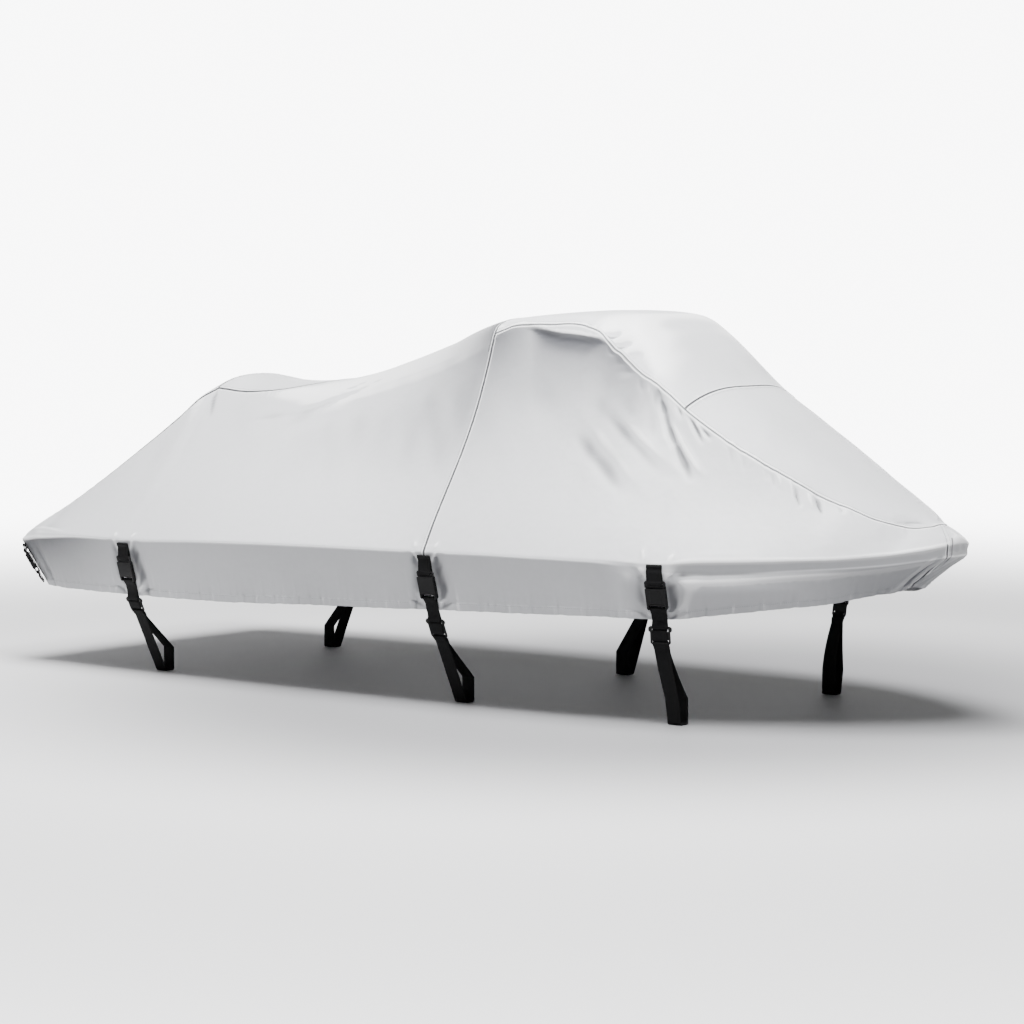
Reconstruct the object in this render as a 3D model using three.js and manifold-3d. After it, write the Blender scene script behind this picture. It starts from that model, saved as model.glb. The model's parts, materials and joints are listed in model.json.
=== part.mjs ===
// Trailering cover for a three-seat personal watercraft, as it sits pulled down over the craft.
// Coated polyester panels are sewn into one hollow shell, and eight webbing straps hang from its
// edge: six loop round the rails of a trailer, and two short ones hang at the stern corners.
//
// Millimetres. +X points to the bow, +Y to port, +Z up. The panels are worked out in the craft's
// datum: x = 0 at the middle straps, y = 0 on the centreline, z = 0 at the edge of the deck amidships.
// The finished group is then moved so that its origin lies under the top of the cover.
import * as THREE from "three";
import { mergeVertices } from "three/addons/utils/BufferGeometryUtils.js";
import Module from "manifold-3d";

// ---------------------------------------------------------------- driving sizes
const CLOTH = 1.6; // doubled hems and seam allowances included
const SEAM_GAP = 0.6; // between two neighbouring panels
const WEBBING = 2.0;
const WEBBING_WIDTH = 46;
const TOP_POINT_X = 318; // where the ridge is highest, over the console

// The deck edge that the cover is pulled over, and the hem below it, against x.
// beam = half width, sheer = height of the fold over the edge, band = height of the upright band
// pressed over the rub rail, lip = how far the band's foot stands out, inset = how far the hem is
// drawn in, hem = height of the hem.
const EDGE_COLUMNS = ["x", "beam", "sheer", "band", "lip", "inset", "hem"];
const EDGE_ROWS = [
  [-1735, 548, -12, 29, 20, 62, -186],
  [-1640, 579, -10, 20, 9, 54, -188],
  [-1450, 595, -16, 8, 3, 50, -189],
  [-1245, 600, -23, 7, 2, 48, -190],
  [-900, 604, -13, 7, 2, 48, -188],
  [-510, 605, -3, 7, 2, 46, -174],
  [-100, 603, 6, 7, 2, 44, -161],
  [0, 602, 8, 7, 2, 44, -157],
  [280, 597, 13, 7, 2, 42, -149],
  [600, 568, 20, 9, 2, 46, -142],
  [775, 530, 20, 24, 3, 52, -143],
  [900, 482, 29, 40, 3, 58, -131],
  [1000, 432, 32, 38, 3, 62, -118],
  [1100, 374, 36, 33, 3, 68, -106],
  [1200, 306, 39, 29, 3, 76, -95],
  [1300, 226, 47, 30, 3, 94, -77],
  [1340, 187, 51, 30, 3, 106, -72],
  [1380, 145, 56, 30, 3, 122, -68],
  [1410, 104, 60, 31, 3, 138, -66],
  [1430, 60, 64, 31, 3, 152, -64],
  [1440, 0, 67, 31, 3, 158, -63],
];

// Cross-sections of the cover above the deck edge, against x.
// crown = height on the centreline, shoulder and drop = half width of the top and how far its edge
// lies below the crown, square = how square the top is, sag = how far the side hangs in under a
// straight line, swell = how far the side bulges near the edge, soft = rounding of the shoulder.
const SECTION_COLUMNS = ["x", "crown", "shoulder", "drop", "square", "sag", "swell", "soft"];
const SECTION_ROWS = [
  [-1756, -4, 540, 8, 2.0, 0, 1.0, 10],
  [-1735, 18, 548, 30, 2.0, 0, 1.0, 10],
  [-1600, 141, 462, 43, 2.0, 2, 1.0, 16],
  [-1466, 272, 375, 52, 2.0, 8, 1.0, 20],
  [-1317, 410, 276, 46, 2.2, 14, 1.0, 18],
  [-1246, 481, 229, 42, 2.4, 18, 1.0, 14],
  [-1200, 509, 200, 42, 2.4, 20, 1.0, 12],
  [-1067, 492, 200, 34, 2.4, 22, 1.0, 12],
  [-980, 489, 200, 31, 2.4, 24, 1.0, 14],
  [-892, 491, 200, 31, 2.4, 26, 1.0, 18],
  [-762, 501, 200, 36, 2.4, 30, 1.0, 34],
  [-600, 531, 200, 39, 2.4, 36, 1.0, 50],
  [-426, 580, 200, 36, 2.4, 44, 1.0, 54],
  [-267, 630, 202, 38, 2.4, 52, 1.0, 48],
  [-108, 683, 210, 42, 3.4, 60, 1.0, 30],
  [0, 699, 262, 39, 6.5, 63, 1.0, 8],
  [115, 712, 256, 22, 4.0, 62, 1.0, 5],
  [218, 720, 252, 28, 3.6, 58, 1.0, 5],
  [318, 724, 252, 38, 3.6, 50, 1.0, 6],
  [381, 722, 256, 56, 4.4, 44, 1.0, 8],
  [467, 713, 270, 110, 5.5, 40, 1.0, 8],
  [541, 672, 283, 120, 5.0, 38, 1.0, 8],
  [607, 618, 291, 98, 4.0, 36, 1.0, 8],
  [717, 524, 298, 78, 2.8, 34, 1.0, 8],
  [860, 432, 289, 78, 3.0, 26, 1.0, 8],
  [960, 364, 274, 64, 3.2, 20, 1.0, 8],
  [1059, 305, 249, 59, 3.2, 12, 1.1, 8],
  [1136, 259, 221, 55, 3.2, 6, 1.2, 8],
  [1209, 216, 193, 42, 3.0, 0, 1.4, 8],
  [1285, 173, 149, 34, 2.8, 0, 1.8, 8],
  [1318, 155, 101, 28, 2.6, 0, 2.2, 8],
  [1346, 140, 52, 18, 2.4, 0, 2.4, 6],
  [1385, 122, 30, 6, 2.0, 0, 3.0, 5],
  [1425, 96, 15, 3, 2.0, 0, 3.0, 4],
  [1440, 67, 1, 0.5, 2.0, 0, 3.0, 1],
];

// Seams in plan: half width against x. The seat panel and the hood both close in a round tongue.
const SEAT_SEAM_ROWS = [
  [-1200, 200],
  [-1130, 201],
  [-1060, 199],
  [-990, 193],
  [-930, 180],
  [-880, 154],
  [-836, 119],
  [-800, 78],
  [-777, 38],
  [-768, 0],
];
const HOOD_SEAM_ROWS = [
  [0, 262],
  [58, 259],
  [115, 256],
  [168, 253],
  [218, 252],
  [270, 251],
  [318, 252],
  [351, 254],
  [381, 256],
  [424, 263],
  [467, 270],
  [504, 277],
  [541, 283],
  [574, 288],
  [607, 291],
  [662, 295],
  [717, 298],
  [788, 295],
  [860, 288],
  [960, 273],
  [1059, 248],
  [1136, 221],
  [1209, 193],
  [1252, 172],
  [1285, 149],
  [1305, 125],
  [1320, 98],
  [1333, 66],
  [1342, 33],
  [1346, 0],
];
// Where the lines of the rear side panel meet the deck edge, for each row of the seat's seam.
const SEAT_SEAM_EDGE_X = [-1735, -1540, -1380, -1240, -1105, -980, -870, -775, -705, -640];
const CROSS_SEAM_ROW = 16; // the seam across the hood starts at this row of the hood's seam
const CROSS_SEAM_BOW = 30; // its middle lies this much further forward
const STEM_SEAM_ARC = -46; // where the bow seam meets the deck edge, measured from the bow to starboard
const RIDGE_STEPS = 11;

// Where the rows of a side panel lie, from the centreline (0) to the deck edge (1). The sixth one is
// the end of the hood's seam at x = 0.
const HOOD_CORNER = 6;
const SIDE_ROWS = [0, 0.07, 0.145, 0.22, 0.295, 0.365, 0.4352, 0.492, 0.56, 0.64, 0.73, 0.82, 0.915, 1];
const SKIRT_ROWS = [0, 0.26, 0.52, 0.77, 1];

// Main folds above the edge, in plan on the starboard side: a soft ridge (height > 0) or trough along
// the line from (x0, y0) to (x1, y1), y0 and y1 being half widths.
const FOLD_COLUMNS = ["x0", "y0", "x1", "y1", "width", "height"];
const FOLD_ROWS = [
  [95, 292, 330, 322, 30, -46], // hollow under the console's edge
  [330, 322, 470, 372, 34, -16],
  [-640, 86, -850, 262, 17, -13], // creases that run aft and down from the seat panel's tip
  [-585, 96, -790, 300, 15, 12],
  [-540, 96, -735, 312, 16, -11],
  [560, 322, 470, 440, 30, 13], // drape under the hood's shoulder
  [640, 326, 560, 470, 28, -14],
  [705, 330, 650, 486, 24, 12],
  [770, 322, 742, 470, 20, -10],
  [-1245, 575, -1200, 470, 26, -9], // pull of the straps
  [0, 575, 34, 470, 24, -9],
  [775, 508, 742, 420, 22, -8],
];
const PORT_FOLD_SHIFT = 34; // the port side is folded a little further aft and less deeply
const PORT_FOLD_DEPTH = 0.8;

// Folds of the skirt: from deck-edge x (top) down to hem x (foot).
const SKIRT_FOLD_COLUMNS = ["top", "foot", "width", "depth"];
const SKIRT_FOLD_ROWS = [
  [-1690, -1655, 22, -6],
  [-1205, -1180, 26, -7],
  [-1290, -1300, 22, -5],
  [-40, -62, 24, -6],
  [42, 60, 24, -7],
  [828, 812, 26, -9],
  [726, 716, 22, -6],
  [890, 838, 24, 6],
  [430, 418, 22, -5],
  [1180, 1246, 26, 7],
  [1262, 1294, 20, -9],
  [1340, 1318, 14, 8],
  [1385, 1348, 9, -8],
];
const HEM_WAVE = 3.5;

// Straps: x where each hangs, then where its pieces lie, measured down the strap from the deck edge.
// start = top of the sewn loop, bar = top of the buckle, mouth = where its halves meet.
const STRAP_COLUMNS = ["x", "start", "bar", "mouth", "buckleEnd", "sliderTop", "sliderEnd"];
const STRAP_ROWS = {
  aft: [-1245, 5, 39, 58, 124, 181, 231],
  middle: [0, 5, 48, 65, 135, 200, 262],
  fore: [775, 5, 49, 70, 138, 191, 245],
  stern: [-1735, 46, 62, 79, 134, 146, 188],
};
const RAIL_STRAPS = ["aft", "middle", "fore"]; // the stern ones hang free at the corners
const STRAP_FLAT = 50; // the skirt is pressed flat this far to each side of a strap
const RAIL = { outer: 428, inner: 396, top: -372, bottom: -444 }; // half widths and heights
const LOOP_LAP = 18; // how far the rail loop's sewn end lies over itself
const PINCH = 18; // from a bar to where a long link's two layers come together

// The stack of a strap, measured off the cloth: webbing against the cloth, then bars and plates.
const WEBBING_LIFT = 1.7; // to the middle of the webbing against the cloth
const LAYER = WEBBING + 0.4; // from that webbing to the next one sewn on it
const WRAP_RADIUS = 5; // from a bar's centre to the middle of the webbing round it
const BAR_LIFT = WEBBING_LIFT + WRAP_RADIUS;
const BAR = { high: 5, deep: 4 };
const FITTING_GAP = 0.5;
const BUCKLE = { half: 30, head: 31.5, corner: 4, back: 0.9, front: 14, pocket: 34, slot: 24.5 };
const PRONG = { outer: 22, inner: 15, middle: 8, bulge: 28.5, bulgeTop: 16, bulgeEnd: 24, end: 31 };
const SLIDER = { half: 30, head: 35, headHigh: 18, corner: 5, slotHigh: 10 };

// ---------------------------------------------------------------- materials
const silverCloth = new THREE.MeshStandardMaterial({ color: "#c9cacb", roughness: 0.72, metalness: 0 });
const blackWebbing = new THREE.MeshStandardMaterial({ color: "#161617", roughness: 0.85, metalness: 0 });
const blackPlastic = new THREE.MeshStandardMaterial({ color: "#232324", roughness: 0.42, metalness: 0 });

// ---------------------------------------------------------------- small helpers
const lerp = THREE.MathUtils.lerp;
const clamp = THREE.MathUtils.clamp;
const vec = (x, y, z) => new THREE.Vector3(x, y, z);
const rowsAs = (columns, rows) =>
  rows.map((row) => Object.fromEntries(columns.map((name, i) => [name, row[i]])));

// A smooth curve through (x, y) pairs that never overshoots between two of them.
function smoothCurve(xs, ys) {
  const last = xs.length - 1;
  const slope = xs.slice(1).map((x, i) => (ys[i + 1] - ys[i]) / (x - xs[i]));
  const tangent = xs.map((x, i) => {
    if (i === 0) return slope[0];
    if (i === last) return slope[last - 1];
    if (slope[i - 1] * slope[i] <= 0) return 0;
    return (2 * slope[i - 1] * slope[i]) / (slope[i - 1] + slope[i]);
  });
  return (x) => {
    const at = clamp(x, xs[0], xs[last]);
    let i = 0;
    while (i < last - 1 && at > xs[i + 1]) i += 1;
    const span = xs[i + 1] - xs[i];
    const t = (at - xs[i]) / span;
    const rise = (1 + 2 * t) * (1 - t) ** 2 * ys[i] + t * t * (3 - 2 * t) * ys[i + 1];
    return rise + span * (t * (1 - t) ** 2 * tangent[i] - t * t * (1 - t) * tangent[i + 1]);
  };
}

// One smooth curve for each column of a table, against its x.
function curvesOf(columns, rows) {
  const xs = rows.map((row) => row[0]);
  const entries = columns.map((name, i) => [name, smoothCurve(xs, rows.map((row) => row[i]))]);
  return Object.fromEntries(entries);
}

const edge = curvesOf(EDGE_COLUMNS, EDGE_ROWS);
const section = curvesOf(SECTION_COLUMNS, SECTION_ROWS);
const folds = rowsAs(FOLD_COLUMNS, FOLD_ROWS);
const skirtFolds = rowsAs(SKIRT_FOLD_COLUMNS, SKIRT_FOLD_ROWS);
const BOW_X = EDGE_ROWS.at(-1)[0];
const STERN_X = EDGE_ROWS[0][0];
const STERN_BEAM = EDGE_ROWS[0][1];
const STERN_CURVE = 20; // the transom bows aft by this much

// ---------------------------------------------------------------- the draped surface
// Height of one cross-section at half width y, with a sharp shoulder.
function sharpHeight(x, y) {
  const shoulder = Math.max(section.shoulder(x), 1);
  const crown = section.crown(x);
  const top = crown - section.drop(x);
  if (y <= shoulder) return crown - section.drop(x) * (y / shoulder) ** section.square(x);
  const t = clamp((y - shoulder) / Math.max(edge.beam(x) - shoulder, 1), 0, 1);
  const sag = section.sag(x) * 6.75 * t * (1 - t) ** 2;
  return lerp(top, edge.sheer(x), t ** section.swell(x)) - sag;
}

// A soft ridge or trough along a line in plan.
function foldHeight(fold, x, y) {
  const along = vec(fold.x1 - fold.x0, fold.y1 - fold.y0, 0);
  const length = along.length();
  along.normalize();
  const s = ((x - fold.x0) * along.x + (y - fold.y0) * along.y) / length;
  const off = (x - fold.x0) * -along.y + (y - fold.y0) * along.x;
  if (s < -0.3 || s > 1.3) return 0;
  const taper = Math.sin((Math.PI * clamp(s + 0.15, 0, 1.3)) / 1.3);
  return fold.height * taper * Math.exp(-((off / fold.width) ** 2));
}

function foldsAt(x, y, port) {
  const half = Math.abs(y);
  const shift = port ? PORT_FOLD_SHIFT : 0;
  const depth = port ? PORT_FOLD_DEPTH : 1;
  const reach = clamp((edge.beam(x) - half) / 40, 0, 1);
  return folds.reduce((sum, fold) => sum + depth * reach * foldHeight(fold, x + shift, half), 0);
}

// Height of the cover over the point (x, y) of the deck.
function height(x, y) {
  const half = Math.abs(y);
  const soft = Math.min(section.soft(x), Math.max(edge.beam(x) - half, 0));
  const taps = [-1, -0.5, 0, 0.5, 1].map((k) => sharpHeight(x, Math.abs(half + k * soft)));
  const rounded = (taps[0] + 2 * taps[1] + 2 * taps[2] + 2 * taps[3] + taps[4]) / 8;
  return rounded + foldsAt(x, y, y > 0);
}

// The deck edge near the bow as a path: length a is measured from the bow, negative to starboard.
const EDGE_PATH = [{ a: 0, x: BOW_X, half: 0 }];
const PATH_STEPS = 600;
for (let k = 1; k <= PATH_STEPS; k += 1) {
  const x = BOW_X * (1 - (k / PATH_STEPS) ** 2);
  const half = edge.beam(x);
  const last = EDGE_PATH.at(-1);
  EDGE_PATH.push({ a: last.a + Math.hypot(x - last.x, half - last.half), x, half });
}
const FRONT_EDGE_LENGTH = EDGE_PATH.at(-1).a;

function bowEdgePoint(a) {
  const length = Math.abs(a);
  const k = clamp(EDGE_PATH.findIndex((p) => p.a >= length), 1, PATH_STEPS);
  const [p, q] = [EDGE_PATH[k - 1], EDGE_PATH[k]];
  const t = clamp((length - p.a) / (q.a - p.a), 0, 1);
  return { x: lerp(p.x, q.x, t), y: Math.sign(a) * lerp(p.half, q.half, t) };
}

// Unit direction in plan that points out from the deck edge at one point of it.
function edgeOutward({ x, y }) {
  if (x <= STERN_X) return vec(-1, Math.sign(y), 0).normalize();
  const step = Math.min(12, BOW_X - x);
  if (step < 0.5) return vec(1, 0, 0);
  const rise = edge.beam(x + step) - edge.beam(x - step);
  return vec(-rise, Math.sign(y) * 2 * step, 0).normalize();
}

// The points of the skirt below a deck-edge point: the rub-rail band, then down to the hem.
function skirtPoints(x, top, outward) {
  const band = top.clone().addScaledVector(outward, edge.lip(x));
  band.z -= edge.band(x);
  const hem = top.clone().addScaledVector(outward, -edge.inset(x));
  hem.z = edge.hem(x);
  const flat = Object.values(STRAP_ROWS).some((strap) => Math.abs(x - strap[0]) < STRAP_FLAT);
  const run = top.x + 1.3 * top.y;
  const wave = flat ? 0 : HEM_WAVE * (Math.sin(run / 61) + 0.7 * Math.sin(run / 37 + 2));
  return SKIRT_ROWS.map((t) => {
    const shift = top.y > 0 ? PORT_FOLD_SHIFT / 2 : 0;
    const gather = skirtFolds.reduce((sum, fold) => {
      const centre = lerp(fold.top, fold.foot, t) - shift;
      return sum + fold.depth * Math.exp(-(((x - centre) / fold.width) ** 2));
    }, 0);
    const push = wave * t * t + gather * Math.sin(Math.PI * (0.12 + 0.7 * t));
    return band.clone().lerp(hem, t).addScaledVector(outward, push);
  });
}

// ---------------------------------------------------------------- panels as grids of points
// side is -1 for starboard and 1 for port.
const onSide = (x, half, side) => vec(x, side * half, 0);
const ridgeXs = Array.from({ length: RIDGE_STEPS }, (_, i) => (i + 1) / RIDGE_STEPS);
const hoodSeam = HOOD_SEAM_ROWS.map(([x, half], i) =>
  i ? { x, half } : { x, half: SIDE_ROWS[HOOD_CORNER] * edge.beam(0) },
);
const seatSeam = SEAT_SEAM_ROWS.map(([x, half]) => ({ x, half }));

// One line of a side panel, from a seam point out to the deck edge and down to the hem.
function rib(from, to, rows) {
  const points = rows.map((t) => {
    const at = from.clone().lerp(vec(to.x, to.y, 0), t);
    return vec(at.x, at.y, height(at.x, at.y));
  });
  points.at(-1).z = edge.sheer(to.x);
  return points.concat(skirtPoints(to.x, points.at(-1), edgeOutward(to)));
}

function rearSide(side) {
  const seatTip = seatSeam.at(-1).x;
  const edgeTip = SEAT_SEAM_EDGE_X.at(-1);
  const starts = seatSeam.map((p) => onSide(p.x, p.half, side));
  starts.push(...ridgeXs.map((share) => vec(lerp(seatTip, 0, share), 0, 0)));
  const ends = SEAT_SEAM_EDGE_X.concat(ridgeXs.map((share) => lerp(edgeTip, 0, share)));
  return starts.map((from, i) => rib(from, { x: ends[i], y: side * edge.beam(ends[i]) }, SIDE_ROWS));
}

function frontSide(side) {
  const start = SIDE_ROWS[HOOD_CORNER];
  const rows = SIDE_ROWS.slice(HOOD_CORNER).map((t) => (t - start) / (1 - start));
  const run = [0];
  hoodSeam.slice(1).forEach((p, i) => {
    run.push(run[i] + Math.hypot(p.x - hoodSeam[i].x, p.half - hoodSeam[i].half));
  });
  return hoodSeam.map((p, i) => {
    const share = run[i] / run.at(-1);
    const to = bowEdgePoint(lerp(side * FRONT_EDGE_LENGTH, STEM_SEAM_ARC, share));
    return rib(onSide(p.x, p.half, side), to, rows);
  });
}

// Lines across the craft between the two seams of a top panel; the hood's bow forward a little.
const ACROSS = SIDE_ROWS.slice(0, HOOD_CORNER + 1).map((t) => t / SIDE_ROWS[HOOD_CORNER]);
const acrossBoth = [...ACROSS.slice(1).reverse().map((t) => -t), ...ACROSS];
function topPanel(seam, bow) {
  return seam.map((p) =>
    acrossBoth.map((t) => {
      const x = p.x + bow(p.x) * (1 - t * t);
      return vec(x, t * p.half, height(x, t * p.half));
    }),
  );
}

const CROSS_SEAM_X = HOOD_SEAM_ROWS[CROSS_SEAM_ROW][0];
const HOOD_TIP_X = HOOD_SEAM_ROWS.at(-1)[0];
const hoodBow = (x) =>
  CROSS_SEAM_BOW * Math.min(x / CROSS_SEAM_X, (HOOD_TIP_X - x) / (HOOD_TIP_X - CROSS_SEAM_X));

// The stern panel falls from the rear edge of the seat to the transom and down to the hem.
function sternPanel() {
  const seat = seatSeam[0];
  return acrossBoth.map((across) => {
    const side = Math.sign(across);
    const from = vec(seat.x, across * seat.half, 0);
    if (Math.abs(across) === 1) return rib(from, { x: STERN_X, y: side * STERN_BEAM }, SIDE_ROWS);
    const to = vec(STERN_X - STERN_CURVE * (1 - across * across), across * STERN_BEAM, 0);
    const points = SIDE_ROWS.map((t) => {
      const at = from.clone().lerp(to, t);
      return vec(at.x, at.y, height(at.x, at.y));
    });
    return points.concat(skirtPoints(STERN_X, points.at(-1), vec(-1, 0, 0)));
  });
}

// ---------------------------------------------------------------- from a grid to a closed shell
// Unit normals at the grid's points, worked out from the neighbouring points.
function gridNormals(grid) {
  const rows = grid.length;
  const columns = grid[0].length;
  return grid.map((line, i) =>
    line.map((point, j) => {
      const a = grid[Math.max(i - 1, 0)][j];
      const b = grid[Math.min(i + 1, rows - 1)][j];
      const c = line[Math.max(j - 1, 0)];
      const d = line[Math.min(j + 1, columns - 1)];
      const normal = b.clone().sub(a).cross(d.clone().sub(c));
      return normal.lengthSq() < 1e-9 ? vec(0, 0, 1) : normal.normalize();
    }),
  );
}

const isSame = (a, b) => a.distanceToSquared(b) < 0.01;

// The panels' edges meet in seams, so the points that two panels share get one common normal.
function shareSeamNormals(panels) {
  const rim = [];
  panels.forEach((panel) => {
    panel.grid.forEach((line, i) =>
      line.forEach((point, j) => {
        const onRim = i === 0 || j === 0 || i === panel.grid.length - 1 || j === line.length - 1;
        if (onRim) rim.push({ point, normal: panel.normals[i][j], panel, i, j });
      }),
    );
  });
  rim.forEach((entry) => {
    const sum = vec(0, 0, 0);
    rim.filter((other) => isSame(other.point, entry.point)).forEach((other) => sum.add(other.normal));
    entry.shared = sum.normalize();
  });
  rim.forEach((entry) => entry.panel.normals[entry.i][entry.j].copy(entry.shared));
}

// The grid's outline as a loop of [i, j], without repeating a point where the grid closes to a tip.
function outlineOf(grid) {
  const rows = grid.length - 1;
  const columns = grid[0].length - 1;
  const loop = [];
  for (let i = 0; i < rows; i += 1) loop.push([i, 0]);
  for (let j = 0; j < columns; j += 1) loop.push([rows, j]);
  for (let i = rows; i > 0; i -= 1) loop.push([i, columns]);
  for (let j = columns; j > 0; j -= 1) loop.push([0, j]);
  return loop.filter(([i, j], k) => {
    const [pi, pj] = loop[(k + loop.length - 1) % loop.length];
    return !isSame(grid[i][j], grid[pi][pj]);
  });
}

// Draws the panel's outline in by half the seam gap, so that neighbours never touch.
function trimOutline(grid, normals) {
  const loop = outlineOf(grid);
  const moves = loop.map(([i, j], k) => {
    const [pi, pj] = loop[(k + loop.length - 1) % loop.length];
    const [ni, nj] = loop[(k + 1) % loop.length];
    const before = grid[i][j].clone().sub(grid[pi][pj]).normalize();
    const after = grid[ni][nj].clone().sub(grid[i][j]).normalize();
    const inBefore = normals[i][j].clone().cross(before).normalize();
    const inAfter = normals[i][j].clone().cross(after).normalize();
    const scale = SEAM_GAP / 2 / Math.max(1 + inBefore.dot(inAfter), 0.35);
    return inBefore.add(inAfter).multiplyScalar(scale);
  });
  loop.forEach(([i, j], k) => {
    const from = grid[i][j].clone();
    grid.forEach((line) => line.filter((p) => isSame(p, from)).forEach((p) => p.add(moves[k])));
  });
}

// A closed shell: the grid outside, the same grid one cloth thickness inside, and the rims between.
function shellOf(grid, normals) {
  const rows = grid.length;
  const columns = grid[0].length;
  const positions = [];
  const index = [];
  const keys = new Map();
  const vertex = (p) => {
    const key = [p.x, p.y, p.z].map((v) => Math.round(v * 50)).join();
    if (!keys.has(key)) {
      keys.set(key, positions.length / 3);
      positions.push(p.x, p.y, p.z);
    }
    return keys.get(key);
  };
  const outer = grid.map((line) => line.map((p) => vertex(p)));
  const inner = grid.map((line, i) =>
    line.map((p, j) => vertex(p.clone().addScaledVector(normals[i][j], -CLOTH))),
  );
  const triangle = (a, b, c) => {
    if (a !== b && b !== c && c !== a) index.push(a, b, c);
  };
  const quad = (a, b, c, d) => {
    triangle(a, b, c);
    triangle(a, c, d);
  };
  for (let i = 0; i < rows - 1; i += 1) {
    for (let j = 0; j < columns - 1; j += 1) {
      quad(outer[i][j], outer[i + 1][j], outer[i + 1][j + 1], outer[i][j + 1]);
      quad(inner[i][j], inner[i][j + 1], inner[i + 1][j + 1], inner[i + 1][j]);
    }
  }
  const loop = outlineOf(grid);
  loop.forEach(([i, j], k) => {
    const [ni, nj] = loop[(k + 1) % loop.length];
    quad(outer[i][j], inner[i][j], inner[ni][nj], outer[ni][nj]);
  });
  const geometry = new THREE.BufferGeometry();
  geometry.setAttribute("position", new THREE.Float32BufferAttribute(positions, 3));
  geometry.setIndex(index);
  geometry.computeVertexNormals();
  return geometry;
}

// Panels whose grid runs the other way round are turned, so that every normal points out.
const turned = (grid) => [...grid].reverse();

function clothPanels() {
  const panels = [
    { name: "seat_panel", grid: topPanel(seatSeam, () => 0) },
    { name: "hood_upper", grid: topPanel(hoodSeam.slice(0, CROSS_SEAM_ROW + 1), hoodBow) },
    { name: "hood_lower", grid: topPanel(hoodSeam.slice(CROSS_SEAM_ROW), hoodBow) },
    { name: "stern_panel", grid: sternPanel() },
    { name: "side_rear_starboard", grid: turned(rearSide(-1)) },
    { name: "side_rear_port", grid: rearSide(1) },
    { name: "side_front_starboard", grid: turned(frontSide(-1)) },
    { name: "side_front_port", grid: frontSide(1) },
  ];
  panels.forEach((panel) => {
    panel.normals = gridNormals(panel.grid);
  });
  shareSeamNormals(panels);
  return panels.map((panel) => {
    trimOutline(panel.grid, panel.normals);
    const mesh = new THREE.Mesh(shellOf(panel.grid, panel.normals), silverCloth);
    mesh.name = panel.name;
    return mesh;
  });
}

// ---------------------------------------------------------------- straps
const webbings = rowsAs(STRAP_COLUMNS, Object.values(STRAP_ROWS));
const strapNames = Object.keys(STRAP_ROWS);

// The line a strap hangs along, in the upright plane square to the deck edge: x is the distance out
// from the edge and y the height above it. It follows the rub rail, the skirt and then the straight
// run to the foot of the trailer's rail. at(u, e) is the point u down the strap and e off the cloth.
function strapLine(x) {
  const corners = [
    new THREE.Vector2(0, 0),
    new THREE.Vector2(edge.lip(x), -edge.band(x)),
    new THREE.Vector2(-edge.inset(x), edge.hem(x) - edge.sheer(x)),
    new THREE.Vector2(RAIL.outer - edge.beam(x), RAIL.bottom - edge.sheer(x)),
  ];
  const legs = corners.slice(1).map((end, i) => {
    const along = end.clone().sub(corners[i]);
    const length = along.length();
    along.normalize();
    return { from: corners[i], along, off: new THREE.Vector2(-along.y, along.x), length };
  });
  const bends = [legs[0].length, legs[0].length + legs[1].length];
  const at = (u, e) => {
    const k = u < bends[0] ? 0 : u < bends[1] ? 1 : 2;
    const start = k ? bends[k - 1] : 0;
    const off = legs[k].off.clone();
    if (k && u - start < 1e-6) {
      off.add(legs[k - 1].off).normalize();
      off.divideScalar(off.dot(legs[k].off));
    }
    return legs[k].from.clone().addScaledVector(legs[k].along, u - start).addScaledVector(off, e);
  };
  return { at, bends, legs };
}

// The same list of [u, e] with a point added at each bend of the strap's line between two of them.
function bent(line, path) {
  return path.flatMap(([u, e], i) => {
    if (!i) return [line.at(u, e)];
    const [pu, pe] = path[i - 1];
    const between = line.bends.filter((b) => (b - u) * (b - pu) < 0);
    if (u < pu) between.reverse();
    return [...between.map((b) => line.at(b, lerp(pe, e, (b - pu) / (u - pu)))), line.at(u, e)];
  });
}

// Half a turn of webbing round a bar: side 1 passes below the bar and -1 above it, and turn 1 goes
// from the back to the front and -1 from the front to the back.
function wrap(u, side, turn) {
  return [0, 1, 2, 3, 4].map((k) => {
    const angle = (k * Math.PI) / 4;
    return [u + side * WRAP_RADIUS * Math.sin(angle), BAR_LIFT - turn * WRAP_RADIUS * Math.cos(angle)];
  });
}

// Turns a strap's own (width, out, height) into the craft's datum. Below the slider the strap turns
// little by little from square to the deck edge to square to the rail.
function strapPlace(strap, side, atStern) {
  const x = strap.x;
  const facing = atStern ? vec(-1, side, 0).normalize() : edgeOutward({ x, y: side * edge.beam(x) });
  const swing = Math.atan2(facing.x, Math.abs(facing.y));
  const railTop = RAIL.top - edge.sheer(x);
  const sliderFoot = strapLine(x).at(strap.sliderEnd, 0).y;
  return (across, out, rise) => {
    const turn = atStern ? swing : swing * clamp((rise - railTop) / (sliderFoot - railTop), 0, 1);
    return vec(
      x + out * Math.sin(turn) + across * Math.cos(turn),
      side * (edge.beam(x) + out * Math.cos(turn) - across * Math.sin(turn)),
      edge.sheer(x) + rise,
    );
  };
}

// A closed geometry whose faces are turned to point out.
function facingOut(positions, index) {
  const corner = (i) => vec(positions[3 * i], positions[3 * i + 1], positions[3 * i + 2]);
  let volume = 0;
  for (let i = 0; i < index.length; i += 3) {
    volume += corner(index[i]).dot(corner(index[i + 1]).cross(corner(index[i + 2])));
  }
  const geometry = new THREE.BufferGeometry();
  geometry.setAttribute("position", new THREE.Float32BufferAttribute(positions, 3));
  geometry.setIndex(volume > 0 ? index : [...index].reverse());
  geometry.computeVertexNormals();
  return geometry;
}

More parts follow.
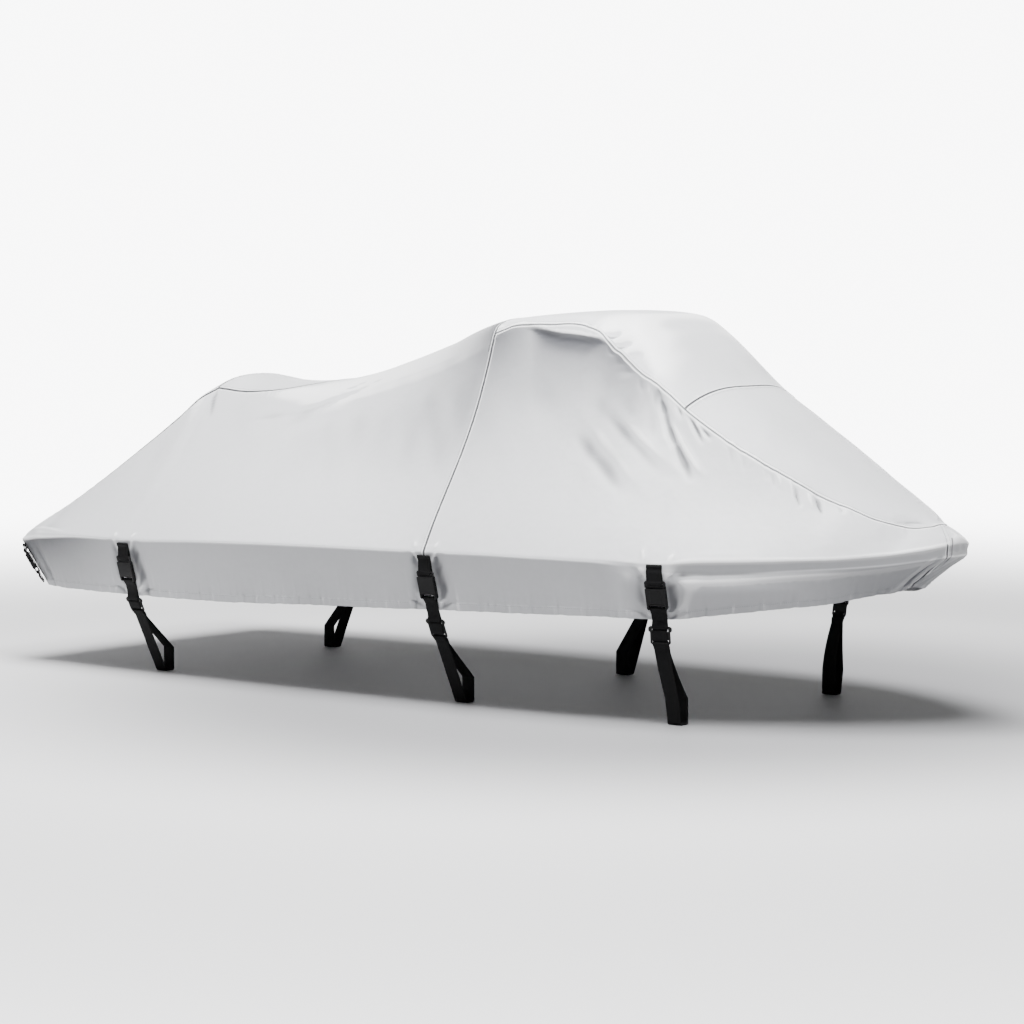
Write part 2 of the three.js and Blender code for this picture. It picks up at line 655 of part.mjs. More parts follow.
// A webbing whose middle runs through the given points of the strap's plane.
function strip(points, place) {
  const positions = [];
  const index = [];
  points.forEach((point, i) => {
    const before = (i ? point.clone().sub(points[i - 1]) : points[1].clone().sub(point)).normalize();
    const isEnd = i === points.length - 1;
    const after = isEnd ? before : points[i + 1].clone().sub(point).normalize();
    const off = before.clone().add(after).normalize();
    const reach = WEBBING / 2 / Math.max(off.dot(after), 0.5);
    [-1, 1].forEach((face) =>
      [-1, 1].forEach((flank) => {
        const out = point.x - off.y * face * reach;
        const rise = point.y + off.x * face * reach;
        positions.push(...place((flank * WEBBING_WIDTH) / 2, out, rise).toArray());
      }),
    );
  });
  const ring = [0, 1, 3, 2];
  for (let i = 0; i < points.length - 1; i += 1) {
    ring.forEach((corner, k) => {
      const [a, b] = [4 * i + corner, 4 * i + ring[(k + 1) % 4]];
      index.push(a, b, b + 4, a, b + 4, a + 4);
    });
  }
  const last = 4 * (points.length - 1);
  index.push(0, 3, 1, 0, 2, 3, last, last + 1, last + 3, last, last + 3, last + 2);
  return facingOut(positions, index);
}

// ---------------------------------------------------------------- plastic fittings
// Drawn flat, across the strap in x and up it in y, and z off the cloth.
const wasm = await Module();
wasm.setup();

function solidFrom(geometry) {
  const bare = new THREE.BufferGeometry().setAttribute("position", geometry.getAttribute("position"));
  const merged = mergeVertices(bare, 1e-4);
  const vertProperties = merged.getAttribute("position").array;
  return new wasm.Manifold(
    new wasm.Mesh({ numProp: 3, vertProperties, triVerts: new Uint32Array(merged.index.array) }),
  );
}

function plate(outline, back, front) {
  const shape = new THREE.Shape(outline.map(([x, y]) => new THREE.Vector2(x, y)));
  const geometry = new THREE.ExtrudeGeometry(shape, { depth: front - back, bevelEnabled: false });
  return solidFrom(geometry.translate(0, 0, back));
}

function block(half, low, high, back, front) {
  return plate([[-half, low], [half, low], [half, high], [-half, high]], back, front);
}

// A slot right through a fitting, where the webbing passes.
const slot = (low, high) => block(BUCKLE.slot, low, high, BUCKLE.back - 1, BUCKLE.front + 1);
const cutAll = (body, cuts) => cuts.reduce((solid, cut) => solid.subtract(cut), body);
const BAR_BACK = BAR_LIFT - BAR.deep / 2;
const BAR_FRONT = BAR_LIFT + BAR.deep / 2;

// Mirrors the right half of an outline, listed from the top down, into a whole one.
const bothHalves = (half) => [...half.map(([x, y]) => [-x, y]), ...[...half].reverse()];

// The male half: a head with a bar for the webbing, two springy side prongs and a guide between.
function maleHalf(headHigh) {
  const { head, corner } = BUCKLE;
  const neck = -FITTING_GAP - 3;
  const half = [
    [head - corner, headHigh],
    [head, headHigh - corner],
    [head, FITTING_GAP],
    [PRONG.outer, FITTING_GAP],
    [PRONG.outer, -PRONG.bulgeTop + 1],
    [PRONG.bulge, -PRONG.bulgeTop - 2],
    [PRONG.bulge, -PRONG.bulgeEnd],
    [PRONG.outer, -PRONG.bulgeEnd - 4],
    [PRONG.outer, -PRONG.end],
    [PRONG.inner, -PRONG.end],
    [PRONG.inner, neck],
    [PRONG.middle, neck],
    [PRONG.middle, -PRONG.end + 3],
  ];
  const body = plate(bothHalves(half), BAR_BACK, BAR_FRONT);
  return cutAll(body, [slot(BAR.high, headHigh - BAR.high)]);
}

// The female half: a flat pocket, open at the sides where the prongs are pressed, and a lower bar.
function femaleHalf(length) {
  const { half, corner, back, front, pocket } = BUCKLE;
  const outline = [
    [half - 2, 0],
    [half, -2],
    [half, -length + corner],
    [half - corner, -length],
  ];
  const foot = -length + BAR.high;
  const pocketBack = BAR_BACK - FITTING_GAP;
  const pocketFront = BAR_FRONT + FITTING_GAP;
  return cutAll(plate(bothHalves(outline), back, front), [
    slot(foot, foot + 10),
    block(BUCKLE.slot, -length - 1, foot + 1, back - 1, BAR_BACK),
    block(BUCKLE.slot, -length - 1, foot + 1, BAR_FRONT, front + 1),
    block(PRONG.outer + 2, -pocket, 1, pocketBack, pocketFront),
    block(half + 1, -PRONG.bulgeEnd - 5, -PRONG.bulgeTop + 2.5, pocketBack, pocketFront),
  ]);
}

// The slider: a wide rounded upper bar, a body and a lower bar, with a slot between each two.
function sliderPlate(length) {
  const { half, head, headHigh, corner, slotHigh } = SLIDER;
  const outline = [
    [head - corner, 0],
    [head, -corner],
    [head, -headHigh + corner],
    [half, -headHigh],
    [half, -length + corner],
    [half - corner, -length],
  ];
  const body = plate(bothHalves(outline), BAR_BACK, BAR_FRONT);
  const foot = -length + BAR.high;
  return cutAll(body, [slot(-BAR.high - slotHigh, -BAR.high), slot(foot, foot + slotHigh)]);
}

// Lays a flat fitting on a strap, with its y = 0 at u down the strap.
function laid(solid, line, u, place) {
  const mesh = solid.getMesh();
  const leg = line.legs[u < line.bends[1] ? 1 : 2];
  const origin = line.at(u, 0);
  const positions = [];
  for (let i = 0; i < mesh.numVert; i += 1) {
    const [x, y, z] = mesh.vertProperties.slice(i * mesh.numProp, i * mesh.numProp + 3);
    const point = origin.clone().addScaledVector(leg.along, -y).addScaledVector(leg.off, z);
    positions.push(...place(x, point.x, point.y).toArray());
  }
  return facingOut(positions, [...mesh.triVerts]);
}

// ---------------------------------------------------------------- one strap's pieces
function topLoop(strap, line) {
  const bar = strap.bar + BAR.high / 2;
  const second = WEBBING_LIFT + LAYER;
  return bent(line, [
    [strap.start, WEBBING_LIFT],
    ...wrap(bar, 1, 1),
    [lerp(strap.start, bar, 0.35), second],
    [strap.start, second],
  ]);
}

function link(strap, line) {
  const upper = strap.buckleEnd - BAR.high / 2;
  const lower = strap.sliderTop + BAR.high / 2;
  const middle = (upper + lower) / 2;
  const second = WEBBING_LIFT + LAYER;
  return bent(line, [
    [middle - 1, WEBBING_LIFT],
    ...wrap(upper, -1, 1),
    ...(lower - upper > 3 * PINCH ? [[upper + PINCH, second], [lower - PINCH, second]] : []),
    ...wrap(lower, 1, -1),
    [middle + 1, WEBBING_LIFT],
  ]);
}

function railLoop(strap, line) {
  const bar = strap.sliderEnd - BAR.high / 2;
  const clear = WEBBING / 2 + 0.6;
  const turn = 4;
  const beam = edge.beam(strap.x);
  const sheer = edge.sheer(strap.x);
  const outer = RAIL.outer - beam + clear;
  const inner = RAIL.inner - beam - clear;
  const top = RAIL.top - sheer;
  const foot = RAIL.bottom - sheer - clear;
  const lapped = WEBBING_LIFT - LAYER;
  const upper = bent(line, [
    [bar + LOOP_LAP + 4, WEBBING_LIFT],
    ...wrap(bar, -1, 1),
    [bar + LOOP_LAP, WEBBING_LIFT + LAYER],
  ]);
  const last = bent(line, [
    [bar + LOOP_LAP + 8, lapped],
    [bar + 8, lapped],
  ]);
  const down = new THREE.Vector2(outer, foot + turn);
  const up = new THREE.Vector2(inner, top);
  const part = (from, to, t) => from.clone().lerp(to, t);
  return [
    ...upper,
    part(upper.at(-1), down, 0.25),
    part(upper.at(-1), down, 0.5),
    part(upper.at(-1), down, 0.75),
    down,
    new THREE.Vector2(outer - turn, foot),
    new THREE.Vector2(inner + turn, foot),
    new THREE.Vector2(inner, foot + turn),
    up,
    part(up, last[0], 0.3),
    part(up, last[0], 0.65),
    ...last,
  ];
}

function strapPieces(name, strap, side) {
  const line = strapLine(strap.x);
  const onRail = RAIL_STRAPS.includes(name);
  const place = strapPlace(strap, side, !onRail);
  const male = maleHalf(strap.mouth - strap.bar);
  const female = femaleHalf(strap.buckleEnd - strap.mouth);
  const slider = sliderPlate(strap.sliderEnd - strap.sliderTop);
  const pieces = [
    ["top_loop", strip(topLoop(strap, line), place), blackWebbing],
    ["buckle_male", laid(male, line, strap.mouth, place), blackPlastic],
    ["buckle_female", laid(female, line, strap.mouth, place), blackPlastic],
    ["link", strip(link(strap, line), place), blackWebbing],
    ["slider", laid(slider, line, strap.sliderTop, place), blackPlastic],
  ];
  if (onRail) pieces.push(["rail_loop", strip(railLoop(strap, line), place), blackWebbing]);
  return pieces.map(([piece, geometry, material]) => {
    const mesh = new THREE.Mesh(geometry, material);
    mesh.name = `${name}_${side < 0 ? "starboard" : "port"}_${piece}`;
    return mesh;
  });
}

// ---------------------------------------------------------------- group
const group = new THREE.Group();
const cover = new THREE.Group();
cover.add(...clothPanels());
strapNames.forEach((name, i) => {
  [-1, 1].forEach((side) => cover.add(...strapPieces(name, webbings[i], side)));
});
cover.position.set(-TOP_POINT_X, 0, -(height(TOP_POINT_X, 0) - CLOTH));
group.add(cover);

export default group;
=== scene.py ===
import json
import math

import bmesh
import bpy
import numpy as np
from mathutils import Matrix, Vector


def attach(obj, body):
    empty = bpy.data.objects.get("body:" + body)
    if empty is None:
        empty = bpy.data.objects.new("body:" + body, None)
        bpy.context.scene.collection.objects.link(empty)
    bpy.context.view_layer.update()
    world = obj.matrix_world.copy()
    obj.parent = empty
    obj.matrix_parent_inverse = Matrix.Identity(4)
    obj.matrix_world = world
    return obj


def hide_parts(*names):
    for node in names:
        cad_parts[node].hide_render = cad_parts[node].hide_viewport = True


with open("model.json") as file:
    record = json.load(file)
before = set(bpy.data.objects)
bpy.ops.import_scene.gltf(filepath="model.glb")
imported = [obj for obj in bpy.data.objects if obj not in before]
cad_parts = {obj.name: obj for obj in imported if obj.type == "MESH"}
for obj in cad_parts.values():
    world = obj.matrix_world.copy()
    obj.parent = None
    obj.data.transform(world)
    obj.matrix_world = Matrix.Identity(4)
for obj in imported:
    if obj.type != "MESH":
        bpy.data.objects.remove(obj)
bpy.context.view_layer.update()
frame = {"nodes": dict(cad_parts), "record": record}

# ---------------------------------------------------------------- the draped cloth
# The cover is one hollow shell of silver polyester cloth, coated inside against rain and pulled
# taut over the craft. Its drape is given here in the craft's datum, in millimetres: x = 0 at the
# middle straps and positive to the bow, y positive to port, z = 0 at the deck's edge amidships.

# The deck's edge, for each x: half its beam, the height of the cloth's fold over it, how deep the
# band pressed over the rub rail is and how far its foot stands out, and the hem's inset and height.
EDGE_COLUMNS = ["beam", "sheer", "band", "lip", "inset", "hem"]
EDGE_ROWS = [
    [-1735, 548, -9, 29, 20, 62, -186],
    [-1640, 579, -4, 20, 9, 54, -188],
    [-1450, 595, -4, 8, 3, 50, -189],
    [-1245, 600, -5, 7, 2, 48, -190],
    [-900, 604, 7, 7, 2, 48, -188],
    [-510, 605, 16, 7, 2, 46, -174],
    [-100, 603, 21, 7, 2, 44, -161],
    [0, 602, 22, 7, 2, 44, -157],
    [280, 597, 26, 7, 2, 42, -149],
    [600, 568, 26, 9, 2, 46, -142],
    [775, 530, 21, 24, 3, 52, -143],
    [900, 482, 29, 40, 3, 58, -131],
    [1000, 432, 32, 38, 3, 62, -118],
    [1100, 374, 36, 33, 3, 68, -106],
    [1200, 306, 39, 29, 3, 76, -95],
    [1300, 227, 48, 30, 3, 94, -75],
    [1340, 190, 53, 30, 3, 108, -69],
    [1380, 151, 60, 30, 3, 126, -64],
    [1410, 115, 66, 31, 3, 146, -60],
    [1432, 76, 72, 32, 3, 162, -58],
    [1444, 40, 77, 36, 3, 170, -57],
    [1448, 0, 80, 39, 3, 172, -57],
]
# The cross-section, for each x: the height of the ridge, the half width of the top, its fall to the
# shoulder and how square it is, how far the side sags and how it swells, the shoulder's rounding.
SECTION_COLUMNS = ["crown", "shoulder", "drop", "square", "sag", "swell", "soft"]
SECTION_ROWS = [
    [-1756, -4, 540, 8, 2.0, 0, 1.0, 10],
    [-1735, 18, 548, 30, 2.0, 0, 1.0, 10],
    [-1600, 141, 462, 43, 2.0, 2, 1.0, 16],
    [-1466, 272, 375, 52, 2.0, 8, 1.0, 20],
    [-1317, 410, 276, 46, 2.2, 14, 1.0, 18],
    [-1246, 481, 229, 42, 2.4, 18, 1.0, 14],
    [-1200, 509, 200, 42, 2.4, 20, 1.0, 12],
    [-1067, 492, 200, 34, 2.4, 22, 1.0, 12],
    [-980, 489, 200, 31, 2.4, 24, 1.0, 14],
    [-892, 491, 200, 31, 2.4, 26, 1.0, 18],
    [-762, 501, 200, 36, 2.4, 30, 1.0, 34],
    [-600, 531, 200, 39, 2.4, 36, 1.0, 50],
    [-426, 580, 200, 36, 2.4, 44, 1.0, 54],
    [-267, 630, 207, 38, 2.6, 52, 1.0, 50],
    [-108, 683, 233, 41, 3.8, 60, 1.0, 40],
    [-50, 693, 248, 40, 5.2, 62, 1.0, 24],
    [0, 699, 262, 39, 6.5, 63, 1.0, 12],
    [115, 712, 256, 22, 4.0, 62, 1.0, 5],
    [218, 720, 252, 28, 3.6, 58, 1.0, 5],
    [318, 724, 252, 38, 3.6, 50, 1.0, 6],
    [381, 722, 256, 56, 4.4, 44, 1.0, 8],
    [467, 713, 270, 110, 5.5, 40, 1.0, 8],
    [541, 672, 283, 120, 5.0, 38, 1.0, 8],
    [607, 618, 291, 98, 4.0, 36, 1.0, 8],
    [717, 524, 298, 78, 2.8, 34, 1.0, 8],
    [860, 432, 289, 78, 3.0, 26, 1.0, 8],
    [960, 364, 274, 64, 3.2, 20, 1.0, 8],
    [1059, 305, 249, 59, 3.2, 12, 1.1, 8],
    [1136, 259, 221, 55, 3.2, 6, 1.2, 8],
    [1209, 216, 193, 42, 3.0, 0, 1.4, 8],
    [1285, 175, 149, 34, 2.8, 0, 1.5, 8],
    [1318, 159, 101, 26, 2.6, 0, 1.6, 6],
    [1346, 145, 52, 14, 2.4, 0, 1.7, 4],
    [1385, 125, 30, 5, 2.0, 0, 1.7, 3],
    [1425, 106, 15, 3, 2.0, 0, 1.7, 2],
    [1440, 95, 8, 1, 2.0, 0, 1.6, 1],
    [1448, 80, 1, 0.5, 2.0, 0, 1.5, 1],
]
# Seams in plan, as x and half width. Each closes in a round tongue on the centreline.
SEAT_SEAM = [[-1200, 200], [-1130, 201], [-1060, 199], [-990, 193], [-930, 180], [-880, 154],
             [-836, 119], [-800, 78], [-777, 38], [-768, 0]]
HOOD_SEAM = [[0, 262], [58, 259], [115, 256], [168, 253], [218, 252], [270, 251], [318, 252],
             [351, 254], [381, 256], [424, 263], [467, 270], [504, 277], [541, 283], [574, 288],
             [607, 291], [662, 295], [717, 298], [788, 295], [860, 288], [960, 273], [1059, 248],
             [1136, 223], [1209, 196], [1262, 172], [1294, 147], [1318, 122], [1342, 99],
             [1365, 71], [1379, 37], [1383, 0]]
SEAT_EDGE_X = [-1735, -1540, -1380, -1240, -1105, -980, -870, -775, -705, -640]
CROSS_SEAM_ROW, CROSS_SEAM_BOW = 16, 30
STEM_SEAM = -58  # where the bow seam meets the deck's edge, to starboard of the bow
STERN_CURVE = 20
# Folds above the deck's edge on the starboard side: x0, half0, x1, half1, width, height.
FOLDS = [
    [95, 292, 330, 322, 56, -20],
    [-560, 165, -820, 262, 22, -5],
    [-545, 150, -800, 222, 16, 4],
    [-1245, 575, -1200, 470, 26, -2],
    [775, 508, 742, 420, 22, -2],
]
# Folds drawn down both front sides from the hood's seam, seen from the side: x0, z0, x1, z1,
# width, height.
SIDE_FOLDS = [
    [449, 445, 700, 260, 20, -3.8],
    [400, 366, 600, 214, 20, -3.4],
    [408, 414, 670, 213, 16, 2.6],
    [497, 437, 740, 273, 15, 2.4],
    [600, 480, 650, 372, 24, -3.5],
    [618, 499, 652, 440, 10, -5.5],
    [646, 456, 706, 360, 13, -9.0],
    [694, 380, 780, 257, 13, -7.0],
    [667, 426, 758, 315, 9, 4.5],
    [742, 334, 813, 264, 9, 3.0],
    [728, 434, 787, 355, 6, -6.0],
    [690, 466, 712, 420, 5, -5.0],
    [771, 394, 808, 362, 6, -5.0],
    [748, 414, 792, 368, 5, 3.5],
]
# Folds of the skirt: x at the deck's edge, x at the hem, width, depth.
SKIRT_FOLDS = [
    [-1690, -1655, 22, -6],
    [-1205, -1180, 26, -7],
    [-1290, -1300, 22, -5],
    [-40, -62, 24, -6],
    [42, 60, 24, -7],
    [828, 812, 26, -9],
    [726, 716, 22, -6],
    [890, 838, 24, 4],
    [1180, 1216, 40, 3],
    [1262, 1264, 36, -3],
    [1340, 1312, 24, 3],
]
# Creases of the skirt round each strap: along from the strap and down the skirt, as shares of its
# height, at both ends, then width and height.
STRAP_CREASES = [
    [-24, 0.98, -96, 0.80, 6, -4.5],
    [-24, 0.92, -74, 0.62, 8, 3.5],
    [-25, 0.86, -52, 0.40, 7, -3.0],
    [26, 0.97, 104, 0.82, 6, -4.5],
    [27, 0.90, 78, 0.66, 8, 3.5],
    [30, 0.84, 56, 0.52, 7, -3.0],
    [30, 0.12, 36, 0.80, 11, -5.0],
    [24, 0.17, 56, -0.12, 6, 8.0],
    [-24, 0.17, -54, -0.12, 6, 8.0],
    [-27, 0.30, -62, 0.12, 8, -2.4],
    [30, 0.36, 70, 0.16, 9, -2.4],
]
# Folds drawn together under the bow: distance from it at the edge and at the hem, width, depth.
BOW_FOLDS = [
    [-96, -205, 13, 9],
    [-76, -170, 12, -10],
    [-62, -132, 10, 9],
    [-40, -100, 10, -8],
    [-14, -70, 10, 7],
    [20, 10, 12, -6],
    [62, 132, 14, 8],
    [84, 176, 15, -9],
]
BOW_X, STERN_X, STERN_BEAM = 1448, -1735, 548
STRAP_X = {"stern": STERN_X, "aft": -1245, "middle": 0, "fore": 775}
MOUNT_DEPTH = 0.4446  # from the deck's edge down to the foot of the rail loops, in metres

rail_mount = next(m for m in frame["record"]["mounts"] if m["name"] == "middle_starboard_rail")
DATUM = np.array([rail_mount["pos_m"][0], 0.0, rail_mount["pos_m"][2] + MOUNT_DEPTH])


def placed(points):
    """Points in the craft's datum, in millimetres, as metres in the frame."""
    return np.asarray(points, float) / 1000 + DATUM


def smooth_curve(xs, ys):
    """A curve through (x, y) pairs that never overshoots between two of them."""
    xs, ys = np.asarray(xs, float), np.asarray(ys, float)
    slope = np.diff(ys) / np.diff(xs)
    product = slope[:-1] * slope[1:]
    total = np.where(product > 0, slope[:-1] + slope[1:], 1)
    inner = np.where(product > 0, 2 * product / total, 0)
    tangent = np.concatenate([slope[:1], inner, slope[-1:]])

    def curve(x):
        at = np.clip(x, xs[0], xs[-1])
        i = np.clip(np.searchsorted(xs, at, side="right") - 1, 0, len(xs) - 2)
        span = xs[i + 1] - xs[i]
        t = (at - xs[i]) / span
        rise = (1 + 2 * t) * (1 - t) ** 2 * ys[i] + t * t * (3 - 2 * t) * ys[i + 1]
        return rise + span * (t * (1 - t) ** 2 * tangent[i] - t * t * (1 - t) * tangent[i + 1])

    return curve


def blurred(values, sigma):
    """A row of evenly spaced values, smoothed over sigma of its steps and held at both ends."""
    reach = int(3 * sigma) + 1
    weights = np.exp(-0.5 * (np.arange(-reach, reach + 1) / sigma) ** 2)
    padded = np.pad(values, reach, mode="reflect", reflect_type="odd")
    return np.convolve(padded, weights / weights.sum(), mode="valid")


def step_between(a, b, x):
    """0 below a, 1 above b, and a smooth rise between."""
    t = np.clip((x - a) / (b - a), 0, 1)
    return t * t * (3 - 2 * t)


def curves_of(columns, rows, calm_to):
    """One curve for each column of a table, eased over a few millimetres up to x = calm_to."""
    xs = np.array([row[0] for row in rows], float)
    fine = np.arange(xs[0], xs[-1] + 1, 1.0)
    keep = step_between(calm_to - 120, calm_to, fine)
    made = {}
    for i, name in enumerate(columns):
        exact = smooth_curve(xs, [row[i + 1] for row in rows])(fine)
        eased = keep * exact + (1 - keep) * blurred(exact, 9)
        made[name] = lambda x, eased=eased: np.interp(x, fine, eased)
    return made


edge = curves_of(EDGE_COLUMNS, EDGE_ROWS, 1330)
section = curves_of(SECTION_COLUMNS, SECTION_ROWS, 1400)


SAG_SCALE = 27 / 4  # makes the deepest point of a side's sag as deep as its table says
PORT_FOLD_SHIFT, PORT_FOLD_DEPTH = 34.0, 0.8  # the port side is folded further aft, less deeply
EDGE_EASE = 40  # folds fade out this near to the deck's edge


def sharp_height(x, half):
    """Height of one cross-section at a half width, before its shoulder is rounded."""
    shoulder = np.maximum(section["shoulder"](x), 1)
    crown = section["crown"](x)
    top = crown - section["drop"](x) * np.minimum(half / shoulder, 1) ** section["square"](x)
    t = np.clip((half - shoulder) / np.maximum(edge["beam"](x) - shoulder, 1), 0, 1)
    side = crown - section["drop"](x)
    side = side + (edge["sheer"](x) - side) * t ** section["swell"](x)
    sagging = side - section["sag"](x) * SAG_SCALE * t * (1 - t) ** 2
    return np.where(half <= shoulder, top, sagging)


def fold_height(fold, x, half):
    """A soft ridge or trough along a line, which fades out past both of its ends."""
    x0, half0, x1, half1, width, rise = fold
    length = math.hypot(x1 - x0, half1 - half0)
    ax, ah = (x1 - x0) / length, (half1 - half0) / length
    s = ((x - x0) * ax + (half - half0) * ah) / length
    off = (half - half0) * ax - (x - x0) * ah
    taper = np.sin(np.pi * np.clip(s + 0.15, 0, 1.3) / 1.3)
    inside = (s > -0.3) & (s < 1.3)
    return np.where(inside, rise * taper * np.exp(-((off / width) ** 2)), 0)


def height(x, y):
    """Height of the cloth over the point (x, y) of the deck."""
    half = np.abs(y)
    room = np.maximum(edge["beam"](x) - half, 0)
    soft = np.minimum(section["soft"](x), room)
    taps = [sharp_height(x, np.abs(half + k * soft)) for k in (-1, -0.5, 0, 0.5, 1)]
    rounded = (taps[0] + 2 * taps[1] + 2 * taps[2] + 2 * taps[3] + taps[4]) / 8
    shift = np.where(y > 0, PORT_FOLD_SHIFT, 0.0)
    depth = np.where(y > 0, PORT_FOLD_DEPTH, 1.0)
    reach = np.clip(room / EDGE_EASE, 0, 1)
    return rounded + depth * reach * sum(fold_height(fold, x + shift, half) for fold in FOLDS)


def running_length(*axes):
    """The length run along a line up to each of its points, from one row for each axis."""
    return np.concatenate([[0], np.cumsum(np.linalg.norm(np.diff(np.stack(axes, 1), axis=0), axis=1))])


def edge_path():
    """The deck's edge from the bow round one side to the middle of the stern, each millimetre."""
    k = np.linspace(0, 1, 6001) ** 2
    t = np.linspace(1, 0, 601)[1:]
    x = np.concatenate([BOW_X - (BOW_X - STERN_X) * k, STERN_X - STERN_CURVE * (1 - t * t)])
    half = np.concatenate([edge["beam"](BOW_X - (BOW_X - STERN_X) * k), STERN_BEAM * t])
    run = running_length(x, half)
    at = np.arange(0, run[-1], 1.0)
    x, half = np.interp(at, run, x), np.interp(at, run, half)
    corner = at[np.argmin(np.abs(x - STERN_X) + np.abs(half - STERN_BEAM))]
    # The cloth turns the stern's corner in a wider arc than the deck does.
    angle = np.unwrap(np.arctan2(-np.gradient(x), np.gradient(half)))
    near = 1 - step_between(130, 260, np.abs(at - corner))
    angle = near * blurred(angle, 55) + (1 - near) * blurred(angle, 9)
    near = 1 - step_between(50, 90, np.abs(at - corner))
    x = near * blurred(x, 13) + (1 - near) * x
    half = near * blurred(half, 13) + (1 - near) * half
    return at, x, half, angle, corner


EDGE_RUN, EDGE_X, EDGE_HALF, EDGE_ANGLE, CORNER_RUN = edge_path()


def edge_at(run):
    """Plan point and outward direction at a distance along the edge from the bow, + to port."""
    side, a = np.where(run < 0, -1.0, 1.0), np.abs(run)
    x, half = np.interp(a, EDGE_RUN, EDGE_X), np.interp(a, EDGE_RUN, EDGE_HALF)
    angle = np.interp(a, EDGE_RUN, EDGE_ANGLE)
    return x, side * half, np.cos(angle), side * np.sin(angle)


def run_at(x):
    """Distance along the edge, from the bow, of the point of one side at x."""
    front = EDGE_RUN <= CORNER_RUN
    return np.interp(-x, -EDGE_X[front], EDGE_RUN[front])


def ripple(p, lengths, seed):
    """Uneven waves along p, from -1 to 1, made of a few wave lengths."""
    phases = np.random.default_rng(seed).uniform(0, 2 * np.pi, len(lengths))
    return sum(np.sin(2 * np.pi * p / l + f) for l, f in zip(lengths, phases)) / len(lengths)


SEAM_LEAD = np.array([0, 1.2, 2.4, 4, 6, 8, 10, 12, 14, 17, 21, 26, 32.0])  # close rows at a seam
EDGE_TAIL = np.arange(0, 33, 4.0)
HEM_TAIL = np.array([0, 1.2, 2.6, 5, 8, 12, 16, 19, 21, 22.5, 24, 25.5, 28, 32.0])


def resampled(lines, lead, middle, tail):
    """Each line of points again, with points at set distances from both of its ends."""
    out = []
    for line in lines:
        run = running_length(*line.T)
        k = min(1.0, 0.8 * run[-1] / (lead[-1] + tail[-1]))
        inner = np.linspace(lead[-1] * k, run[-1] - tail[-1] * k, middle + 2)[1:-1]
        at = np.concatenate([lead * k, inner, run[-1] - tail[::-1] * k])
        out.append(np.stack([np.interp(at, run, line[:, c]) for c in range(3)], 1))
    return np.array(out)


def crowded(total, step, lead, tail):
    """Distances along a total length: even steps, closer near the ends that carry a seam."""
    middle = int((total - lead[-1] - tail[-1]) / step)
    inner = np.linspace(lead[-1], total - tail[-1], middle + 2)[1:-1]
    return np.concatenate([lead, inner, total - tail[::-1]])


def near_line(x, y, ax, ay, bx, by, width):
    """1 on the line from (ax, ay) to (bx, by), falling to 0 away from it, thinner to its far end."""
    length = np.hypot(bx - ax, by - ay)
    s = ((x - ax) * (bx - ax) + (y - ay) * (by - ay)) / length ** 2
    off = ((x - ax) * (by - ay) - (y - ay) * (bx - ax)) / length
    return np.exp(-((off / width) ** 2)) * step_between(-0.12, 0.1, s) * (1 - step_between(0.5, 1.15, s))


BAND_ROWS = np.linspace(0, 1, 7)[:-1]  # rows of the band, as shares of its height
SKIRT_ROWS = np.concatenate([[0, 4, 8, 12, 17, 23], np.linspace(30, 100, 10)]) / 100
HEM_WAVE, HEM_RIPPLE, SKIRT_RIPPLE = 2.6, 1.3, 1.2
CORNER_REACH, CORNER_LIP, CORNER_HEM = 34, 7.5, 2.0  # the stern's corners stand out a little
STRAP_FLAT = (32, 80)  # the skirt's waves are pressed flat this near to a strap, and free this far
BOW_TUCK = 14  # the band round the bow is drawn in under the rub rail
PORT_SKIRT_SHIFT, PORT_CREASE_SPREAD = 17.0, 0.9


